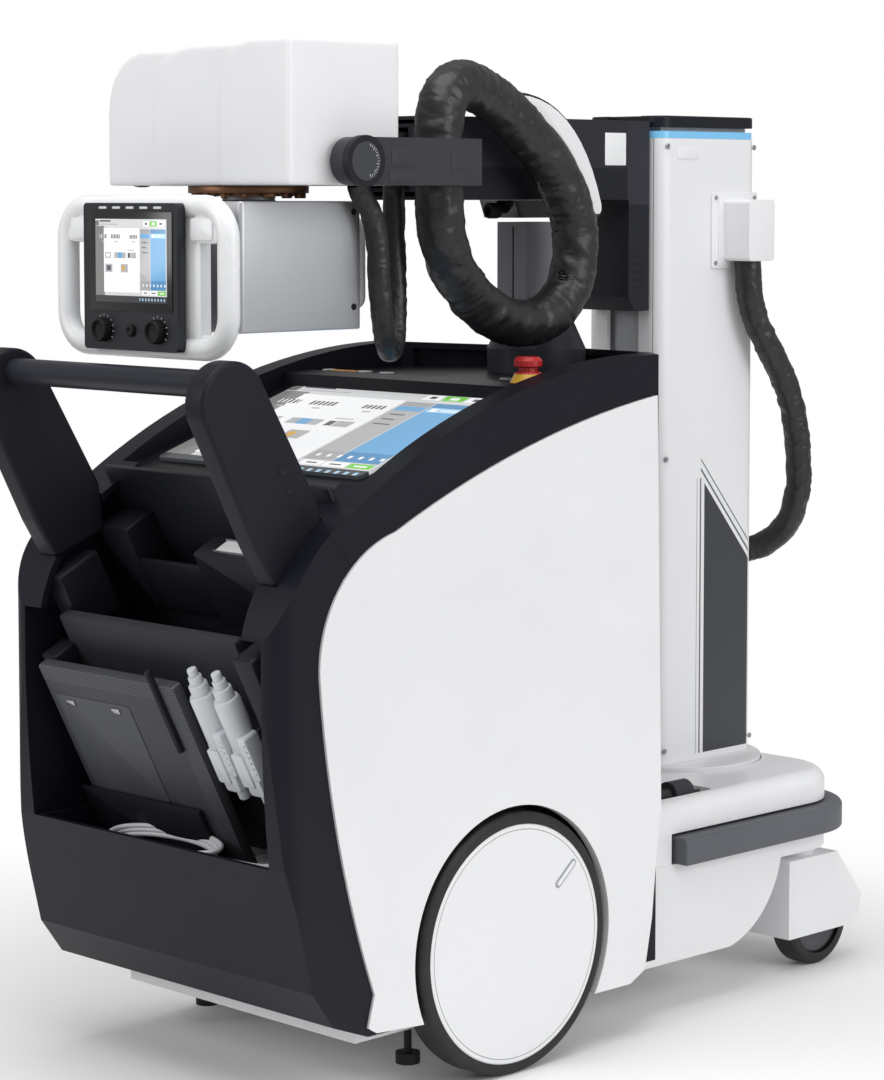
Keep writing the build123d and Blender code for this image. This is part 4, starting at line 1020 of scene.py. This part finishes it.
# Storage
# Leaning bins moulded in dark plastic in the handle's end: a stepped upper bin, a ledge with
# a blank label, two flat detectors behind guides and a low pocket for cords.
bin_edge = (0.0, -450.0, 703.0)
bin_lean = (0.0, -0.454, 0.891)
bin_face = face_frame(bin_edge, (1, 0, 0), bin_lean)
bin_plastic = graphite_plastic("bin_plastic", (0.014, 0.015, 0.020), 0.40)
bins = [
    # across, up the lean, out of it, edge, corner
    block(bin_face, (-222, 222), (-110, 62), (-60, -52), 1.5),
    block(bin_face, (-222, -152), (-120, 0), (-52, 0), 3.0, 3.0),
    block(bin_face, (-152, 0), (-120, -46), (-8, 0), 1.5),
    block(bin_face, (0, 200), (-120, -8), (-24, 20), 3.0, 3.0),
    block(bin_face, (150, 222), (-120, 36), (-40, 26), 3.0, 4.0),
    block(bin_face, (-222, 222), (-420, -112), (-20, -10), 1.5),
    block(bin_face, (-222, -186.7), (-105, -14), (30, 101), 4.0, 5.0),
    block(bin_face, (-222, -190), (-145, -105), (110, 153), 3.0, 3.0),
    block(bin_face, (-222, -196), (-330, -270), (110, 153), 3.0, 3.0),
    block(bin_face, (186, 222), (-330, -60), (60, 153), 4.0, 5.0),
]
tray = fit("storage_bins", bins, bin_plastic, "chassis")
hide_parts("storage_tray", "detector_bay")
label = [block(bin_face, (34, 116), (-8.4, -7.2), (-14, 12), 0.3, 2.0)]
fit("storage_blank_label", label, blank_plate, "chassis")


def detector_finish(name, colour, dots_over, dots_past, pitch=4.2):
    """Matt plastic with fine perforation over one height and past one line, in mm."""
    finish = graphite_plastic(name, colour, 0.45, 1200.0)
    run = finish.along((1, 0, 0), bin_edge)
    rise = finish.along(bin_lean, bin_edge)
    hole_across, hole_up = run.repeat(pitch), rise.repeat(pitch)
    hole = 1.0 - (hole_across * hole_across + hole_up * hole_up).math("SQRT").step(1.0, 0.5)
    band = rise.step(dots_over, 0.4).math("MAXIMUM", run.step(dots_past, 0.4))
    finish.feed("Base Color", finish.mix(hole * band, colour, tuple(c * 2.2 for c in colour)))
    return finish


# Painted shade: the back detector is a darker grey than the front one, as it stands behind it in the bay.
back_plastic = detector_finish("back_detector_plastic", (0.026, 0.027, 0.032), -500.0, 300.0)
back_plate = [block(bin_face, (-200, 154), (-400, -63), (102.6, 117.6), 1.2, 6.0)]
back_plate = fit("detector_plate_back", back_plate, back_plastic, "chassis")
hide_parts("detector_back")
front_plastic = detector_finish("front_detector_plastic", (0.060, 0.062, 0.070), -132.0, 34.0)
front_plate = [block(bin_face, (-212, 65), (-396, -108), (154.4, 169.4), 1.2, 6.0)]
front_plate = fit("detector_plate_front", front_plate, front_plastic, "chassis")
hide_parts("detector_front")
battery_plastic = graphite_plastic("battery_cover_plastic", (0.082, 0.085, 0.094), 0.4, 1200.0)
battery = [block(bin_face, (-200, -46), (-304, -152), (169.0, 170.6), 0.5, 5.0)]
fit("detector_battery_cover", battery, battery_plastic, "chassis")
latches = []
for left in (-178.0, -84.0):
    latches.append(block(bin_face, (left, left + 16), (-166, -158), (170.2, 172.6), 0.6, 2.0))
fit("detector_latches", latches, zinc, "chassis")
lip = [block(bin_face, (-222, 20), (-420, -300), (171.5, 179.0), 2.0, 2.0)]
fit("detector_bay_lip", lip, bin_plastic, "chassis")


# Hand switches
# Two exposure switches of pale moulded plastic in a clip beside the detectors, each with a
# stepped button at its top and a ribbed grip.
switch_plastic = white_plastic("hand_switch_plastic", (0.62, 0.64, 0.67), 0.35)
switch_face = face_frame(bin_edge, (1, 0, 0), (0, 0.891, 0.454))
switch_depth = 156.0
switch_thick = (switch_depth - 14, switch_depth + 14)
switch_front = switch_depth + 17
rib_count, rib_pitch = 6, 8.5
for name, across in (("left", 101.7), ("right", 147.7)):
    axis = (across, -switch_depth)
    switch = [
        disc(switch_face, axis, 17.5, (-196, -118), 6.0, 0.0, 40),
        disc(switch_face, axis, 12.5, (-121, -104), 2.0, 0.0, 40),
        disc(switch_face, axis, 9.0, (-106, -93), 1.5, 0.0, 32),
        disc(switch_face, axis, 6.5, (-94, -82), 2.0, 0.0, 32),
        block(bin_face, (across - 15, across + 15), (-262, -186), switch_thick, 5.0, 6.0),
        disc(switch_face, axis, 8.0, (-278, -258), 3.0, 0.0, 24),
        block(bin_face, (across + 8, across + 25), (-232, -168), (switch_depth - 8, switch_front), 3.0, 4.0),
        block(bin_face, (across - 17, across + 6), (-246, -196), (switch_depth + 8, switch_front), 2.5, 4.0),
    ]
    for step in range(rib_count):
        rise = -222.0 + rib_pitch * step
        run, out = (across + 12, across + 22), (switch_front - 3, switch_front + 1.5)
        switch.append(block(bin_face, run, (rise, rise + 3.4), out, 0.8, 1.2))
    fit("hand_switch_" + name, switch, switch_plastic, "chassis")
holder = [
    block(bin_face, (78, 176), (-178, -168), (116, 150), 2.0, 3.0),
    block(bin_face, (28, 36), (-208, -84), (168, 177), 2.5, 2.0),
    block(bin_face, (78, 222), (-262, -250), (112, 150), 2.0, 3.0),
]
fit("hand_switch_holder", holder, bin_plastic, "chassis")


# Hoses
# Cables in black sewn leather sleeves that are clamped at both ends. The leather lies in soft
# creases, deeper on the wider sleeves, and its finer folds are darkened by painted shade.
def smooth_line(name, points):
    """A smooth curve through the route's control points."""
    data = bpy.data.curves.new(name, "CURVE")
    data.dimensions = "3D"
    spline = data.splines.new("NURBS")
    spline.points.add(len(points) - 1)
    for point, place in zip(spline.points, points):
        point.co = (*(c * MM for c in place), 1.0)
    spline.order_u = 3
    spline.use_endpoint_u = True
    spline.resolution_u = 14
    made = bpy.data.objects.new(name, data)
    bpy.context.scene.collection.objects.link(made)
    return made


def sewn_sleeve(name, route, diameter, crease, pitch):
    """A sleeve of that diameter along a route, creased by the given depth and pitch in mm."""
    line = smooth_line(name, route)
    bpy.context.view_layer.update()
    spine_mesh = bpy.data.meshes.new_from_object(line)
    spine = [vertex.co.copy() for vertex in spine_mesh.vertices]
    line.data.bevel_depth = (diameter - crease) * MM / 2
    line.data.bevel_resolution = 14
    line.data.splines[0].resolution_u = 40
    take(line)
    bpy.ops.object.convert(target="MESH")
    sleeve = bpy.context.object
    bpy.ops.object.shade_smooth()
    for vertex in sleeve.data.vertices:
        where = vertex.co / (pitch * MM)
        fold = abs(noise.noise(where)) * 1.6 + abs(noise.noise(where * 2.3)) * 0.8
        vertex.co -= vertex.normal * (fold - 0.7) * crease * MM
    return sleeve, spine


main_hose_route = (
    (130, -148, 1155.5), (130, -148, 1100), (118, -110, 1040), (108, -45, 990), (106, 25, 966),
    (106, 85, 975), (106, 128, 1010), (106, 142, 1060), (106, 140, 1110), (106, 108, 1168), (106, 60, 1216),
    (106, 5, 1256), (108, -50, 1284), (122, -108, 1294), (130, -148, 1262), (130, -148, 1216.5),
)
strap_hose_route = (
    (62, -164.5, 1156), (62, -164.5, 1105), (68, -168, 1050), (78, -176, 995), (90, -190, 952),
    (102, -210, 936), (114, -230, 952), (121, -244, 995), (122, -250, 1045), (122, -252, 1090),
    (122, -262, 1122), (122, -280, 1142), (122, -286, 1158),
)
column_hose_route = (
    (100, 523, 1047), (100, 523, 995), (104, 550, 938), (110, 592, 880), (113, 618, 820), (114, 630, 755),
    (110, 634, 695), (94, 632, 650), (66, 628, 622), (38, 616, 606), (20, 598, 602), (20, 584, 602),
)
sleeve_leather = Finish("black_sleeve_leather", base_color=(0.013, 0.013, 0.015), specular_ior_level=0.5)
folds_and_shade = sleeve_leather.noise(38.0, 4.0, 0.6)
pores = sleeve_leather.noise(900.0, 2.0)
# Painted shade: the leather is darker where the fold bump sinks and lighter where it rises.
sleeve_leather.feed("Base Color", sleeve_leather.mix(folds_and_shade, (0.009, 0.009, 0.010), (0.022, 0.022, 0.025)))
sleeve_leather.feed("Roughness", folds_and_shade * 0.22 + 0.30)
fold_bump = sleeve_leather.bump(folds_and_shade, 0.45, 0.004)
sleeve_leather.feed("Normal", sleeve_leather.bump(pores, 0.15, 0.0004, fold_bump))
hoses = (
    # name, route, diameter, length, crease, pitch, body, node, slot
    ("main_hose_sleeve", main_hose_route, 66.0, 0.93, 3.4, 30.0, "yoke", "main_hose", "black_sleeve"),
    ("strap_hose_sleeve", strap_hose_route, 30.0, 0.46, 1.6, 22.0, "tube_head", "strap_hose", "black_sleeve"),
    ("column_hose_sleeve", column_hose_route, 40.0, 0.52, 2.4, 26.0, "column", "column_hose", "grey_hose"),
)
for name, route, diameter, length, crease, pitch, body, node, slot in hoses:
    hose, spine = sewn_sleeve(name, route, diameter, crease, pitch)
    hose.data.materials.append(sleeve_leather.material)
    if node == "strap_hose":
        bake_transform(hose)
    else:
        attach(hose, body)
    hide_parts(node)


# Switch lead
# A thin white lead that drops from the right-hand switch into the cord pocket, where its
# spare length lies in loose flat turns.
lead_diameter = 7.0
turn_steps, turn_pitch = 44, 28.0
lead_drop = (
    # across, up the bins, out of them
    (147.7, -276.0, 156.0), (147.7, -290.0, 158.0), (146.0, -330.0, 168.0), (138.0, -372.0, 176.0),
)
lead_route = [tuple(c / MM for c in bin_face @ (Vector(place) * MM)) for place in lead_drop]
turn_middle = (-48.0, -482.0, 306.0)
for step in range(turn_steps):
    turn = math.radians(20.0 - turn_pitch * step)
    reach = 95.0 + 0.28 * step
    depth = 35.0 + 0.1 * step
    lead_route.append((
        turn_middle[0] + 0.3 * step + reach * math.cos(turn),
        turn_middle[1] + depth * math.sin(turn),
        turn_middle[2] - 9.0 + 0.42 * step + 6.0 * math.sin(turn),
    ))
lead_white = white_plastic("switch_lead_sheath", (0.70, 0.71, 0.73), 0.4)
lead = smooth_line("switch_lead", lead_route)
lead.data.bevel_depth = lead_diameter * MM / 2
lead.data.bevel_resolution = 5
lead.data.materials.append(lead_white.material)
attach(lead, "chassis")
[c * MM for c in lead_route[0]]


# Mains plug
# A dark rubber plug parked in a socket on the base cover, moulded with fine ribs that give
# a hold.
plug_rubber = graphite_plastic("plug_rubber", (0.045, 0.047, 0.052), 0.5)
plug_ribs = plug_rubber.along((0, 1, 0)).repeat(5.0).step(1.2, 1.0)
plug_rubber.feed("Normal", plug_rubber.bump(plug_ribs, 0.5, 0.0015))
dress(["mains_plug"], plug_rubber)
